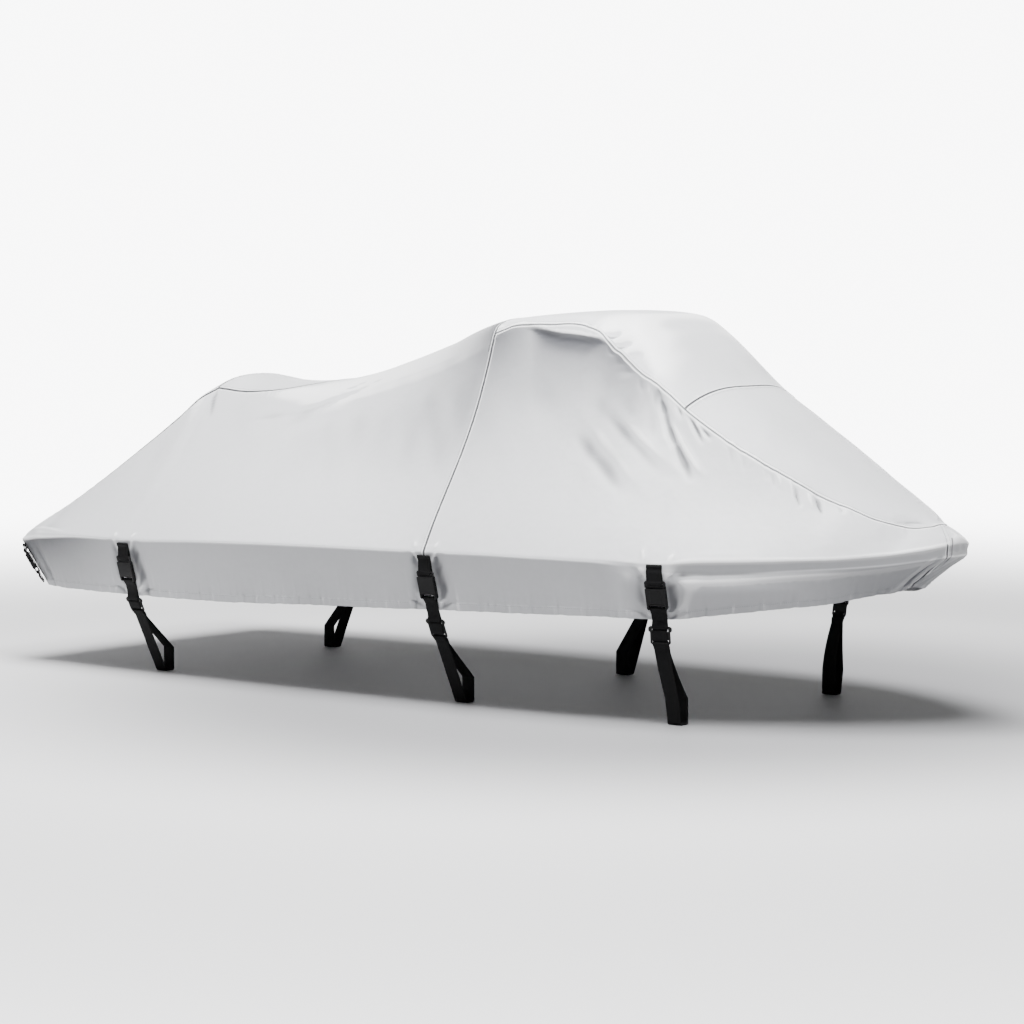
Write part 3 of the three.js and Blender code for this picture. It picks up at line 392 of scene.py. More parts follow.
def skirt(run):
    """Rows of points from the deck's edge down to the hem, for points along the edge."""
    x, y, ox, oy = edge_at(run)
    top = np.stack([x, y, height(x, y)], 1)
    out = np.stack([ox, oy, np.zeros_like(ox)], 1)
    row = np.clip(x, STERN_X, BOW_X)
    up = np.array([0, 0, 1.0])
    corner = out * np.exp(-(((np.abs(run) - CORNER_RUN) / CORNER_REACH) ** 2))[:, None]
    band = top + out * edge["lip"](row)[:, None] - up * edge["band"](row)[:, None]
    hem = top - out * edge["inset"](row)[:, None]
    hem[:, 2] = edge["hem"](row) + HEM_RIPPLE * ripple(x + 1.4 * y, [41, 58, 83, 140], 9)
    band, hem = band + CORNER_LIP * corner, hem + CORNER_HEM * corner
    length = np.linalg.norm(hem - band, axis=1)
    flat = np.minimum.reduce([step_between(*STRAP_FLAT, np.abs(x - s)) for s in STRAP_X.values()])
    wander = x + 1.3 * y
    wave = flat * HEM_WAVE * (np.sin(wander / 61) + 0.7 * np.sin(wander / 37 + 2))
    wave = wave + flat * SKIRT_RIPPLE * ripple(np.abs(run) + 500 * (y > 0), [47, 31, 23], 4)
    shift = np.where(y > 0, PORT_SKIRT_SHIFT, 0.0)
    spread = 1 if y[0] < 0 else PORT_CREASE_SPREAD
    tuck = BOW_TUCK * step_between(600, 880, x) * flat * (1 - 0.7 * step_between(1425, 1446, x))
    rows = [top + (band - top) * t - out * (tuck * t)[:, None] for t in BAND_ROWS]
    upper = [t * (1 - HEM_TAIL[-1] / length) * 0.97 for t in SKIRT_ROWS]
    for t in upper + [1 - up_from_hem / length for up_from_hem in HEM_TAIL[::-1]]:
        gather = sum(depth * np.exp(-(((x - (a + (b - a) * t) + shift) / width) ** 2))
                     for a, b, width, depth in SKIRT_FOLDS)
        gather = gather + sum(depth * np.exp(-(((run - (a + (b - a) * t)) / width) ** 2))
                              for a, b, width, depth in BOW_FOLDS)
        gather = gather * np.sin(np.pi * (0.12 + 0.7 * t))
        gather = gather + sum(
            0.5 * rise * near_line((x - s) * spread, t * length, ax, au * length, bx, bu * length, width)
            for name, s in STRAP_X.items() if name != "stern"
            for ax, au, bx, bu, width, rise in STRAP_CREASES
        )
        below = np.clip(t * length / 24, 0, 1)
        push = wave * t * t + gather - tuck * (1 - below)
        rows.append(band + (hem - band) * t[:, None] + out * push[:, None])
    return np.stack(rows, 1)


def eased(grid, first, last):
    """The grid with its corners rounded between two places of its lines."""
    grid = grid.copy()
    mask = np.zeros(grid.shape[1])
    mask[first:last] = 1
    mask = np.convolve(mask, [0.25, 0.5, 0.25], mode="same")[1:-1, None] * 0.5
    ahead, behind = grid[:, 2:] - grid[:, 1:-1], grid[:, :-2] - grid[:, 1:-1]
    la = 1 / np.maximum(np.linalg.norm(ahead, axis=2, keepdims=True), 0.3)
    lb = 1 / np.maximum(np.linalg.norm(behind, axis=2, keepdims=True), 0.3)
    grid[:, 1:-1] += mask * (ahead * la + behind * lb) / (la + lb)
    return grid


def side_grid(starts, runs, middle):
    """A side panel's points, from its upper seam out to the deck's edge and down to the hem."""
    x, y, _, _ = edge_at(runs)
    t = np.linspace(0, 1, 401)[None, :]
    px = starts[:, :1] + (x[:, None] - starts[:, :1]) * t
    py = starts[:, 1:] + (y[:, None] - starts[:, 1:]) * t
    top = resampled(np.stack([px, py, height(px, py)], 2), SEAM_LEAD, middle, EDGE_TAIL)
    grid = np.concatenate([top[:, :-1], skirt(runs)], 1)
    at = top.shape[1]
    return eased(grid, at - 2, at + 9)


def tongue(table, share):
    """A point of a seam that closes in a round tongue, at a share of its table's rows."""
    rows = table + [[table[-2][0], -table[-2][1]]]
    at = np.arange(len(rows))
    x = smooth_curve(at, [row[0] for row in rows])(share)
    half = smooth_curve(at, [row[1] for row in rows])(share)
    return x, half


RIDGE_STEPS = 11  # a rear side runs on from the seat's seam in this many steps along the ridge


def rear_side(side):
    """The long side from the stern's corner to the hood, under the seat panel and the ridge."""
    tip = len(SEAT_SEAM) - 1
    last = tip + RIDGE_STEPS
    index = np.linspace(0, last, 4001)
    x, half = tongue(SEAT_SEAM, np.minimum(index, tip))
    x = np.where(index > tip, SEAT_SEAM[-1][0] * (last - index) / RIDGE_STEPS, x)
    half = np.where(index > tip, 0, half)
    ridge = [SEAT_EDGE_X[-1] * (RIDGE_STEPS - k) / RIDGE_STEPS for k in range(1, RIDGE_STEPS + 1)]
    edge_x = smooth_curve(np.arange(last + 1), SEAT_EDGE_X + ridge)(index)
    runs = run_at(edge_x)
    length = runs[0] - runs
    at = np.interp(crowded(length[-1], 6, SEAM_LEAD, SEAM_LEAD), length, index)
    at = np.sort(np.append(at, float(tip)))
    starts = np.stack([np.interp(at, index, x), side * np.interp(at, index, half)], 1)
    return side_grid(starts, side * np.interp(at, index, runs), middle=58)


def front_side(side):
    """The side from the hood's rear seam round to the stem, under the hood."""
    index = np.linspace(0, len(HOOD_SEAM) - 1, 6001)
    run = running_length(*tongue(HOOD_SEAM, index))
    first = side * run_at(0)
    total = abs(first - STEM_SEAM)
    at = crowded(total, 5.5, SEAM_LEAD, SEAM_LEAD) / total
    x, half = tongue(HOOD_SEAM, np.interp(at, run / run[-1], index))
    return side_grid(np.stack([x, side * half], 1), first + (STEM_SEAM - first) * at, middle=56)


def across_grid(seam, index, tail, bow, middle):
    """A top panel's points, in lines across the craft between the two sides of its seam."""
    run = running_length(*tongue(seam, index))
    x, half = tongue(seam, np.interp(crowded(run[-1], 8, SEAM_LEAD, tail), run, index))
    t = np.linspace(-1, 1, 601)[None, :]
    px = x[:, None] + bow(x)[:, None] * (1 - t * t)
    py = np.maximum(half, 0)[:, None] * t
    return resampled(np.stack([px, py, height(px, py)], 2), SEAM_LEAD, middle, SEAM_LEAD)


def seat_grid():
    """The tongue over the seat's rear end, in straight lines across the craft."""
    index = np.linspace(0, len(SEAT_SEAM) - 1, 3001)
    return across_grid(SEAT_SEAM, index, np.array([0, 4.0]), lambda x: 0 * x, middle=40)


def hood_grid(first, last, middle):
    """A stretch of the hood, in lines across the craft that bow forward like its cross seam."""
    cross_x, tip_x = HOOD_SEAM[CROSS_SEAM_ROW][0], HOOD_SEAM[-1][0]

    def bow(x):
        return CROSS_SEAM_BOW * np.minimum(x / cross_x, (tip_x - x) / (tip_x - cross_x))

    return across_grid(HOOD_SEAM, np.linspace(first, last, 4001), SEAM_LEAD, bow, middle)


def stern_grid():
    """The panel that falls from the seat's rear edge to the transom and down to the hem."""
    last = EDGE_RUN[-1]
    runs = crowded(2 * (last - CORNER_RUN), 9, SEAM_LEAD, SEAM_LEAD) - (last - CORNER_RUN)
    runs = np.where(runs < 0, -1.0, 1.0) * (last - np.abs(runs))
    x, y, _, _ = edge_at(runs)
    share = y / np.abs(y[0])
    seat_x, seat_half = SEAT_SEAM[0]
    return side_grid(np.stack([np.full_like(x, seat_x), seat_half * share], 1), runs, middle=50)


# Creases pressed or pulled into the cloth, finer than the folds: x0, half0, x1, half1, width, height.
CREASES = [
    [-55, 221, 49, 263, 9, 3.5],
    [49, 263, 111, 246, 9, 4.0],
    [-476, 185, -697, 222, 6, -3.4],
    [-640, 214, -833, 245, 7, -3.0],
    [-833, 245, -1002, 263, 7, -2.0],
    [-500, 160, -740, 208, 6, -2.6],
    [-520, 176, -760, 220, 5, 2.0],
    [-1205, 215, -1175, 262, 7, -4.0],
    [381, 349, 775, 405, 30, 5.0],
    [404, 257, 446, 242, 6, -7.5],
    [428, 262, 470, 246, 5, 4.5],
    [452, 264, 498, 250, 6, -7.5],
    [424, 272, 458, 268, 5, -7.0],
    [456, 281, 512, 276, 5, -7.5],
    [469, 290, 536, 283, 6, -7.5],
    [500, 270, 540, 260, 6, -5.0],
    [1052, 251, 1090, 270, 6, -8.0],
    [1110, 230, 1148, 247, 6, -8.0],
    [1090, 240, 1122, 256, 6, 4.0],
    [1174, 206, 1196, 217, 6, -6.0],
    [548, 290, 584, 306, 6, -5.0],
    [596, 294, 628, 314, 6, -6.5],
    [612, 292, 644, 312, 5, 4.5],
    [630, 292, 662, 314, 6, -6.5],
    [846, 284, 888, 304, 6, -5.0],
    [886, 279, 926, 298, 6, -4.5],
    [960, 268, 990, 282, 6, -4.5],
    [1000, 260, 1036, 276, 6, 3.5],
    [1040, 252, 1066, 264, 5, 3.5],
    [985, 268, 1012, 280, 6, -5.0],
    [-1713, 552, -1525, 588, 7, 3.5],
    [846, 500, 1046, 402, 8, 2.2],
]
# Creases that run out from the top of each strap, where it pulls on the deck's edge.
PULL_CREASES = [
    [-1276, 602, -1292, 586, 6, 4.5],
    [-1214, 602, -1198, 586, 6, 4.5],
    [-31, 604, -47, 588, 6, 4.5],
    [31, 604, 47, 588, 6, 4.5],
    [743, 536, 726, 520, 6, 4.5],
    [807, 517, 824, 500, 6, 4.5],
]
PORT_CREASE_SHIFT = 21.0


def crease_height(x, y):
    """Height of the creases over the point (x, y), on both sides of the craft."""
    half = np.abs(y)
    shift = np.where(y > 0, PORT_CREASE_SHIFT, 0.0)
    fade = step_between(0, 6, edge["beam"](x) - half)
    drawn = sum(fold_height(crease, x + shift, half) for crease in CREASES)
    return fade * (drawn + sum(fold_height(crease, x, half) for crease in PULL_CREASES))


def grid_normals(grid):
    """The outward direction at each point of a grid."""
    normal = np.cross(np.gradient(grid, axis=0), np.gradient(grid, axis=1))
    length = np.linalg.norm(normal, axis=2, keepdims=True)
    normal = np.where(length > 1e-4, normal / np.maximum(length, 1e-9), [0, 0, 1.0])
    middle = grid - np.array([0, 0, 100.0])
    middle[:, :, 0] *= 0.2
    if (normal * middle).sum() < 0:
        normal = -normal
    return normal


def nearest_on(points, line):
    """For each point, its distance to a line of points, and the nearest one's place on it."""
    fine = [np.linspace(a, b, max(int(np.linalg.norm(b - a) / 2), 1), endpoint=False)
            for a, b in zip(line[:-1], line[1:])]
    fine = np.concatenate(fine + [line[-1:]])
    near = np.full(len(points), 1e9)
    phase = np.zeros(len(points))
    tag = fine @ np.array([1.0, 0.9, 0.8])
    for start in range(0, len(points), 4000):
        block = points[start:start + 4000]
        square = (block ** 2).sum(1)[:, None] + (fine ** 2).sum(1)[None, :] - 2 * block @ fine.T
        best = square.argmin(1)
        near[start:start + 4000] = np.sqrt(np.maximum(square[np.arange(len(block)), best], 0))
        phase[start:start + 4000] = tag[best]
    return near, phase


SEAM_TRIM = 0.3  # each panel's own share of the slit between two panels
LAP = 13.0  # width of the lapped seam allowance, with a row of stitches near each of its edges
CLOTH = 1.0
STITCH_ROWS, HEM_STITCH_ROW = (3.0, LAP - 2.5), 21.0  # from the seam, and up from the hem's edge
FAR = 400.0  # a distance that stands for no seam near
# Relief of the sewn cloth in millimetres: the lap over its neighbour, the slit, the needle lines,
# the puckers beside a seam, the broad unevenness, the turned hem and the puckers beside its row.
LAP_RISE, SLIT_DEPTH, NEEDLE_DEPTH, PUCKER, UNEVEN = 0.7, 1.1, 0.35, 2.2, 0.9
HEM_RISE, HEM_NEEDLE_DEPTH, HEM_PUCKER = 0.7, 0.4, 1.8
PUCKER_FADE, HEM_PUCKER_FADE = 16, 14


def trimmed(grid, seams):
    """The grid, drawn in a little from each of its sewn borders."""
    grid = grid.copy()
    for name in seams:
        axis, end = {"first": (0, 0), "last": (0, -1), "start": (1, 0), "end": (1, -1)}[name]
        step = 1 if end == 0 else -1
        rim = grid[end] if axis == 0 else grid[:, end]
        inner = grid[end + step] if axis == 0 else grid[:, end + step]
        gap = inner - rim
        length = np.maximum(np.linalg.norm(gap, axis=1, keepdims=True), 1e-6)
        rim += gap / length * np.minimum(SEAM_TRIM, 0.5 * length)
    return grid


def border(grid, name):
    """One border of a grid, by name."""
    return {"first": grid[0], "last": grid[-1], "start": grid[:, 0], "end": grid[:, -1]}[name]


STITCH_LIFT = 0.25  # a stitch's middle lies this far above the cloth
NEAR_SEAM = 24  # rows of the grid that a line of stitches can lie between
seam_lines = []  # lines of stitches, filled panel by panel


def sew_along(points, normal, lapped, hemmed):
    """Notes the lines of stitches of one panel, laid on its outer face."""
    wanted = [(name, away) for name in lapped for away in STITCH_ROWS]
    if hemmed:
        wanted.append(("end", HEM_STITCH_ROW))
    for name, away in wanted:
        turned = points if name in ("start", "end") else points.swapaxes(0, 1)
        facing = normal if name in ("start", "end") else normal.swapaxes(0, 1)
        if name in ("end", "last"):
            turned, facing = turned[:, ::-1], facing[:, ::-1]
        near = turned[:, :NEAR_SEAM]
        run = np.cumsum(np.linalg.norm(np.diff(near, axis=1), axis=2), 1)
        keep = run[:, -1] > away
        k = np.argmax(run > away, 1)
        rows = np.arange(len(k))
        before = np.where(k > 0, run[rows, k - 1], 0)
        share = ((away - before) / np.maximum(run[rows, k] - before, 1e-6))[:, None]
        line = near[rows, k] + (near[rows, k + 1] - near[rows, k]) * share
        seam_lines.append((line + STITCH_LIFT * facing[rows, k])[keep])


# The hollow over the console starts under a crease: the crease's height at each x. The cloth is
# also drawn in on both sides of the vent. Little light reaches either, so both are darkened with
# painted shade, fading out as far off as these say.
console_crease = smooth_curve([60, 120, 180, 244, 330, 400, 470], [690, 681, 667, 656, 648, 641, 612])
HOLLOW_FALL = 34  # how far under the crease the hollow is deepest
VENT_TOP, VENT_FADE, CONSOLE_FADE = [0, 235, 655], 320, 220
PORT_SIDE_SHIFT = 26.0
# Painted shade under the deck's edge, as shares: everywhere, just under the edge, more at the stern,
# on the lower front and under the bow; and how far down the part under the edge fades.
UNDER_SHADE, UNDER_SHADE_EDGE, UNDER_SHADE_STERN, UNDER_SHADE_FRONT, UNDER_SHADE_BOW, UNDER_SHADE_FADE = 0.1, 0.22, 0.7, 0.42, 0.72, 170


def painted_edge_shade(x, z):
    """Painted shade on the band under the rub rail at the bow, and painted shade under the deck's edge."""
    below = edge["sheer"](x) - z
    under_lip = below - edge["band"](x)
    # Painted shade on the band pressed under the rub rail at the bow.
    band = step_between(0, 3, below) * (1 - step_between(-3, 0, under_lip)) * step_between(640, 900, x)
    aft = UNDER_SHADE_EDGE + UNDER_SHADE_STERN * step_between(-1150, -1650, x)
    aft = UNDER_SHADE + aft * np.exp(-np.maximum(under_lip, 0) / UNDER_SHADE_FADE)
    front = UNDER_SHADE_FRONT * step_between(15, 60, under_lip)
    at_front = step_between(600, 740, x)
    bow = UNDER_SHADE_BOW * step_between(860, 1340, x)
    under_shade = np.maximum.reduce([aft * (1 - at_front), front * at_front, bow])
    return band, under_shade * step_between(-2, 4, under_lip)


def sewn(grid, seams, lapped, hemmed, hollow, pale, marks, faint):
    """Adds the relief of seams, puckers, creases and hem. Returns the points and their layers."""
    grid = trimmed(grid, seams)
    points = grid.reshape(-1, 3)
    x, y, z = points.T
    seam, lap, pale_seam, mark, shown, hem = np.full((6, len(points)), FAR)
    phase = np.zeros(len(points))
    for name in seams:
        line = border(grid, name)
        if running_length(*line.T)[-1] < 5:
            continue
        near, tag = nearest_on(points, line)
        phase = np.where(near < seam, tag, phase)
        seam = np.minimum(seam, near)
        fading, top = faint
        plain = FAR * step_between(top - 6, top + 6, z) + 1.3 if name == fading else 0
        shown = np.minimum(shown, near + plain)
        if name in lapped:
            lap = np.minimum(lap, near)
        if name in pale:
            pale_seam = np.minimum(pale_seam, near)
        for border_name, away, low, high in marks:
            if border_name == name:
                mark = np.where((z > low) & (z < high), np.abs(near - away), mark)
    swell = LAP_RISE * (1 - step_between(LAP - 1.5, LAP + 1.0, lap))
    groove = -SLIT_DEPTH * np.exp(-((seam / 1.5) ** 2))
    needled = -NEEDLE_DEPTH * sum(np.exp(-((lap - row) ** 2)) for row in STITCH_ROWS)
    gather = ripple(phase, [17, 23, 31, 44], 11) * (0.5 + 0.5 * ripple(phase, [130, 210], 12))
    pucker = PUCKER * gather * np.exp(-(seam / PUCKER_FADE)) * step_between(0, 5, seam)
    uneven = ripple(x + 0.4 * z, [310, 190, 127], 21) * ripple(z - 0.5 * y, [260, 170], 22)
    rise = swell + groove + needled + pucker + UNEVEN * uneven
    clear = step_between(2, 16, seam)
    pressed = crease_height(x, y) * (z > -20) * (0.25 + 0.75 * clear)
    # Painted shade round the vent.
    to_vent = np.linalg.norm(np.stack([x, np.abs(y), z], 1) - VENT_TOP, axis=1)
    beside_vent = len(marks) > 0 or hollow > 0
    shade = np.exp(-to_vent / VENT_FADE) * step_between(20, 110, np.abs(y)) * beside_vent
    if hollow:
        under = console_crease(x) - z
        reach = step_between(80, 200, x) * (1 - step_between(330, 450, x))
        down = np.maximum(under, 0) / HOLLOW_FALL
        shift = np.where(y > 0, PORT_SIDE_SHIFT, 0.0)
        drawn = sum(fold_height(fold, x + shift, z) for fold in SIDE_FOLDS)
        rise += drawn * clear * step_between(20, 80, z)
        rise -= hollow * reach * step_between(-6, 16, under) * (1 + down) * np.exp(-down)
        # Painted shade under the console's crease.
        console = step_between(20, 190, x) * (1 - step_between(520, 740, x))
        console = console * np.exp(-np.maximum(under, 0) / CONSOLE_FADE)
        shade = step_between(-8, 12, under) * np.maximum(shade, console)
    if hemmed:
        down = np.linalg.norm(np.diff(grid, axis=1), axis=2)
        up = np.cumsum(down[:, ::-1], 1)[:, ::-1]
        hem = np.concatenate([up, np.zeros((len(grid), 1))], 1).ravel()
        from_stitches = hem - HEM_STITCH_ROW
        rise += HEM_RISE * (1 - step_between(2, 4, from_stitches))
        rise -= HEM_NEEDLE_DEPTH * np.exp(-((from_stitches / 1.2) ** 2))
        waves = ripple(x + 0.8 * y, [15, 21, 27, 38], 31) * (0.55 + 0.45 * ripple(x + y, [90, 150], 32))
        rise += HEM_PUCKER * waves * np.exp(-np.abs(from_stitches) / HEM_PUCKER_FADE)
    raised = points + grid_normals(grid).reshape(-1, 3) * rise[:, None]
    raised[:, 2] += pressed
    # Painted shade on the rub rail's band and under the deck's edge.
    band, under_shade = painted_edge_shade(raised[:, 0], raised[:, 2])
    return raised.reshape(grid.shape), {"seam": shown, "pale_seam": pale_seam, "mark": mark, "hem": hem,
                                        "band": band, "shade": np.maximum(shade, under_shade)}


def softened(grid, turns):
    """The grid with every point moved to the mean of its neighbours, a number of times."""
    for _ in range(turns):
        for axis in (0, 1):
            pad = [(0, 0)] * 3
            pad[axis] = (1, 1)
            wide = np.pad(grid, pad, mode="reflect", reflect_type="odd")
            before, after = (wide[:-2], wide[2:]) if axis == 0 else (wide[:, :-2], wide[:, 2:])
            grid = 0.25 * before + 0.5 * grid + 0.25 * after
    return grid


def linked(name, data):
    """An object that puts a mesh, light or camera into the scene."""
    made = bpy.data.objects.new(name, data)
    bpy.context.scene.collection.objects.link(made)
    return made


def filled(mesh, made):
    """Moves a bmesh into a mesh, with smooth faces."""
    made.to_mesh(mesh)
    made.free()
    mesh.polygons.foreach_set("use_smooth", [True] * len(mesh.polygons))


def new_mesh(name, points, faces, layers):
    """A mesh object at the origin. layers are numbers kept for each point."""
    mesh = bpy.data.meshes.new(name)
    mesh.from_pydata(placed(points).tolist(), [], faces)
    for key, values in layers.items():
        layer = mesh.attributes.new(key, "FLOAT", "POINT")
        layer.data.foreach_set("value", np.asarray(values, np.float32))
    made = bmesh.new()
    made.from_mesh(mesh)
    bmesh.ops.remove_doubles(made, verts=made.verts, dist=2e-5)
    filled(mesh, made)
    return linked(name, mesh)


def cloth_panel(name, grid, seams, lapped, hemmed, hollow, pale, marks, faint):
    """One panel of cloth from its grid of points, as a thin closed sheet in place."""
    points, layers = sewn(grid, seams, lapped, hemmed, hollow, pale, marks, faint)
    normal = grid_normals(points)
    # Painted shade: how deep a point lies under its smoothed neighbours sets how much it is darkened.
    layers["hollow"] = ((softened(points, 24) - points) * normal).sum(2).ravel()
    # Painted highlight: how far a point stands over its smoothed neighbours sets how much it is paled.
    layers["ridge"] = ((points - softened(points, 9)) * normal).sum(2).ravel()
    sew_along(points, normal, lapped, hemmed)
    rows, columns, _ = grid.shape
    along = np.linalg.norm(np.diff(grid, axis=0), axis=2).mean(1)
    along = np.concatenate([[0], np.cumsum(along)])
    down = np.cumsum(np.linalg.norm(np.diff(grid, axis=1), axis=2), 1)
    layers["warp"] = np.repeat(along, columns)
    layers["weft"] = np.concatenate([np.zeros((rows, 1)), down], 1).ravel()
    index = np.arange(rows * columns).reshape(rows, columns)
    faces = np.stack([index[:-1, :-1], index[1:, :-1], index[1:, 1:], index[:-1, 1:]], -1).reshape(-1, 4)
    flat = points.reshape(-1, 3)
    a, b, c, d = (flat[faces[:, k]] for k in range(4))
    turn = (np.cross(c - a, d - b) * grid_normals(grid)[:-1, :-1].reshape(-1, 3)).sum()
    if turn < 0:
        faces = faces[:, ::-1]
    piece = new_mesh(name, flat, faces.tolist(), layers)
    shell = piece.modifiers.new("thickness", "SOLIDIFY")
    shell.thickness = CLOTH / 1000
    shell.offset = -1
    return piece


def linear(hex_colour):
    """An sRGB hex colour as linear numbers with an alpha of 1."""
    parts = [int(hex_colour[i:i + 2], 16) / 255 for i in (1, 3, 5)]
    return [c / 12.92 if c <= 0.04045 else ((c + 0.055) / 1.055) ** 2.4 for c in parts] + [1.0]


def add(tree, kind, inputs, **settings):
    """Adds a node. An input's value is a number, a colour or the socket to link it to."""
    made = tree.nodes.new(kind)
    for key, value in settings.items():
        setattr(made, key, value)
    for key, value in inputs.items():
        if isinstance(value, bpy.types.NodeSocket):
            tree.links.new(value, made.inputs[key])
        else:
            made.inputs[key].default_value = value
    return made


def new_material(name):
    """A material, its node tree and its shader."""
    made = bpy.data.materials.new(name)
    made.use_nodes = True
    return made, made.node_tree, made.node_tree.nodes["Principled BSDF"]


def weave_of(tree, pitches):
    """The height of a weave: a wave along each of the named layers, a thread's pitch long."""
    height = 1.0
    for layer, pitch in pitches.items():
        along = add(tree, "ShaderNodeAttribute", {}, attribute_name=layer).outputs["Fac"]
        turn = add(tree, "ShaderNodeMath", {0: along, 1: 2 * math.pi / pitch},
                   operation="MULTIPLY").outputs[0]
        wave = add(tree, "ShaderNodeMath", {0: turn}, operation="SINE").outputs[0]
        height = add(tree, "ShaderNodeMath", {0: height, 1: wave}, operation="MULTIPLY").outputs[0]
    return height


# Coated polyester: plain woven cloth with a thin rain coat, matt with a faint sheen. The weave is
# about 0.5 mm a thread and is drawn as 1.8 mm so that it shows. The cloth is a little uneven in
# tone. Its colour carries painted shade in hollows, round the vent and console, on the rub rail's
# band and under the deck's edge, and painted highlights along ridges and beside its seams. It is
# dark in the slit and needle lines of a seam. In millimetres: the thread's pitch, the width of
# broad blotches, of flecks and of crinkles, and how deep threads and crinkles are.
THREAD_PITCH, BLOTCH, FLECK, CRINKLE = 1.8, 312.5, 18.18, 41.67
THREAD_DEPTH, CRINKLE_DEPTH = 0.08, 2.2
coated_polyester, tree, shader = new_material("coated_polyester")
place = add(tree, "ShaderNodeTexCoord", {}).outputs["Object"]
names = ["seam", "pale_seam", "mark", "hollow", "ridge", "band", "shade", "hem"]
layers = {name: add(tree, "ShaderNodeAttribute", {}, attribute_name=name).outputs["Fac"] for name in names}
broad = add(tree, "ShaderNodeTexNoise", {"Vector": place, "Scale": 1000 / BLOTCH,
                                         "Detail": 3.0}).outputs["Fac"]
fine = add(tree, "ShaderNodeTexNoise", {"Vector": place, "Scale": 1000 / FLECK,
                                        "Detail": 4.0}).outputs["Fac"]
tone = add(tree, "ShaderNodeMixRGB", {"Fac": broad, "Color1": linear("#cfd0d3"),
                                      "Color2": linear("#d8d9db")}).outputs[0]
flecks = add(tree, "ShaderNodeMapRange", {"Value": fine, "From Min": 0.3, "From Max": 0.7,
                                          "To Min": 0.0, "To Max": 0.12}).outputs[0]
tone = add(tree, "ShaderNodeMixRGB", {"Fac": flecks, "Color1": tone,
                                      "Color2": linear("#bcbdc0")}).outputs[0]
dark_seam = add(tree, "ShaderNodeMath", {0: layers["seam"], 1: layers["pale_seam"]},
                operation="LESS_THAN").outputs[0]
# The tints, laid one over another: the layer each one follows, its ramps as two of the layer's
# values and the share of the tint at both, and its colour.
TINTS = [
    # painted shade in hollows and creases
    ["hollow", [(0.1, 3.6, 0.0, 0.8)], "#4c4d52"],
    # painted highlight on ridges and edges
    ["ridge", [(0.35, 1.5, 0.0, 0.85)], "#fbfbfc"],
    # painted shade near the vent and console and under the deck's edge
    ["shade", [(0.1, 1.0, 0.0, 0.97)], "#4c4d52"],
    # painted shade on the rub rail's band
    ["band", [(0.0, 1.0, 0.0, 0.52)], "#6e6f73"],
    # painted highlight beside pale seams
    ["pale_seam", [(2.4, 3.6, 0.0, 1.0), (5.6, 7.6, 0.8, 0.0)], "#fafafa"],
    ["pale_seam", [(1.2, 2.6, 0.8, 0.0)], "#6d6e72"],
    # painted highlight beside dark seams
    ["seam", [(3.4, 4.6, 0.0, 0.55), (6.0, 8.0, 1.0, 0.0)], "#fafafa"],
    ["seam", [(2.2, 4.2, 0.95, 0.0)], "#35363a"],
    ["mark", [(1.3, 3.4, 0.85, 0.0)], "#3c3d41"],
    ["hem", [(0.6, 2.2, 0.35, 0.0)], "#7c7d80"],
]
for name, ramps, colour in TINTS:
    share = dark_seam if name == "seam" else 1.0
    for low, high, start, end in ramps:
        ramp = add(tree, "ShaderNodeMapRange", {"Value": layers[name], "From Min": low, "From Max": high,
                                                "To Min": start, "To Max": end},
                   interpolation_type="LINEAR" if name == "shade" else "SMOOTHSTEP").outputs[0]
        share = add(tree, "ShaderNodeMath", {0: share, 1: ramp}, operation="MULTIPLY").outputs[0]
    tone = add(tree, "ShaderNodeMixRGB", {"Fac": share, "Color1": tone,
                                          "Color2": linear(colour)}).outputs[0]
tree.links.new(tone, shader.inputs["Base Color"])
rough = add(tree, "ShaderNodeMapRange", {"Value": fine, "To Min": 0.38, "To Max": 0.50}).outputs[0]
tree.links.new(rough, shader.inputs["Roughness"])
shader.inputs["Specular IOR Level"].default_value = 0.5
shader.inputs["Sheen Weight"].default_value = 0.12
shader.inputs["Sheen Roughness"].default_value = 0.45
weave = weave_of(tree, {"warp": THREAD_PITCH, "weft": THREAD_PITCH})
crinkle = add(tree, "ShaderNodeTexNoise", {"Vector": place, "Scale": 1000 / CRINKLE, "Detail": 3.0,
                                           "Roughness": 0.45, "Distortion": 0.3}).outputs["Fac"]
soft = add(tree, "ShaderNodeBump", {"Height": crinkle, "Strength": 0.5,
                                    "Distance": CRINKLE_DEPTH / 1000})
woven = add(tree, "ShaderNodeBump", {"Height": weave, "Normal": soft.outputs[0], "Strength": 0.5,
                                     "Distance": THREAD_DEPTH / 1000})
tree.links.new(woven.outputs[0], shader.inputs["Normal"])

# ---------------------------------------------------------------- the cloth panels
# Eight panels of the coated polyester. Each is cut flat, lapped over its neighbour and sewn with
# two rows of stitches; the hem is the same cloth, turned up twice round a draw cord and stitched.
CONSOLE_HOLLOW = 12.0
STEM_LINE_TOP = 84  # above this the stem's seam is too flat to see
# Lines parallel to a border: the border, how far from it, and the heights between which it shows.
MARKS = {
    "side_rear_starboard": [("last", 11, 585, 705)],
    "side_rear_port": [("last", 11, 585, 705)],
    "side_front_port": [("last", 18, -60, 95)],
}
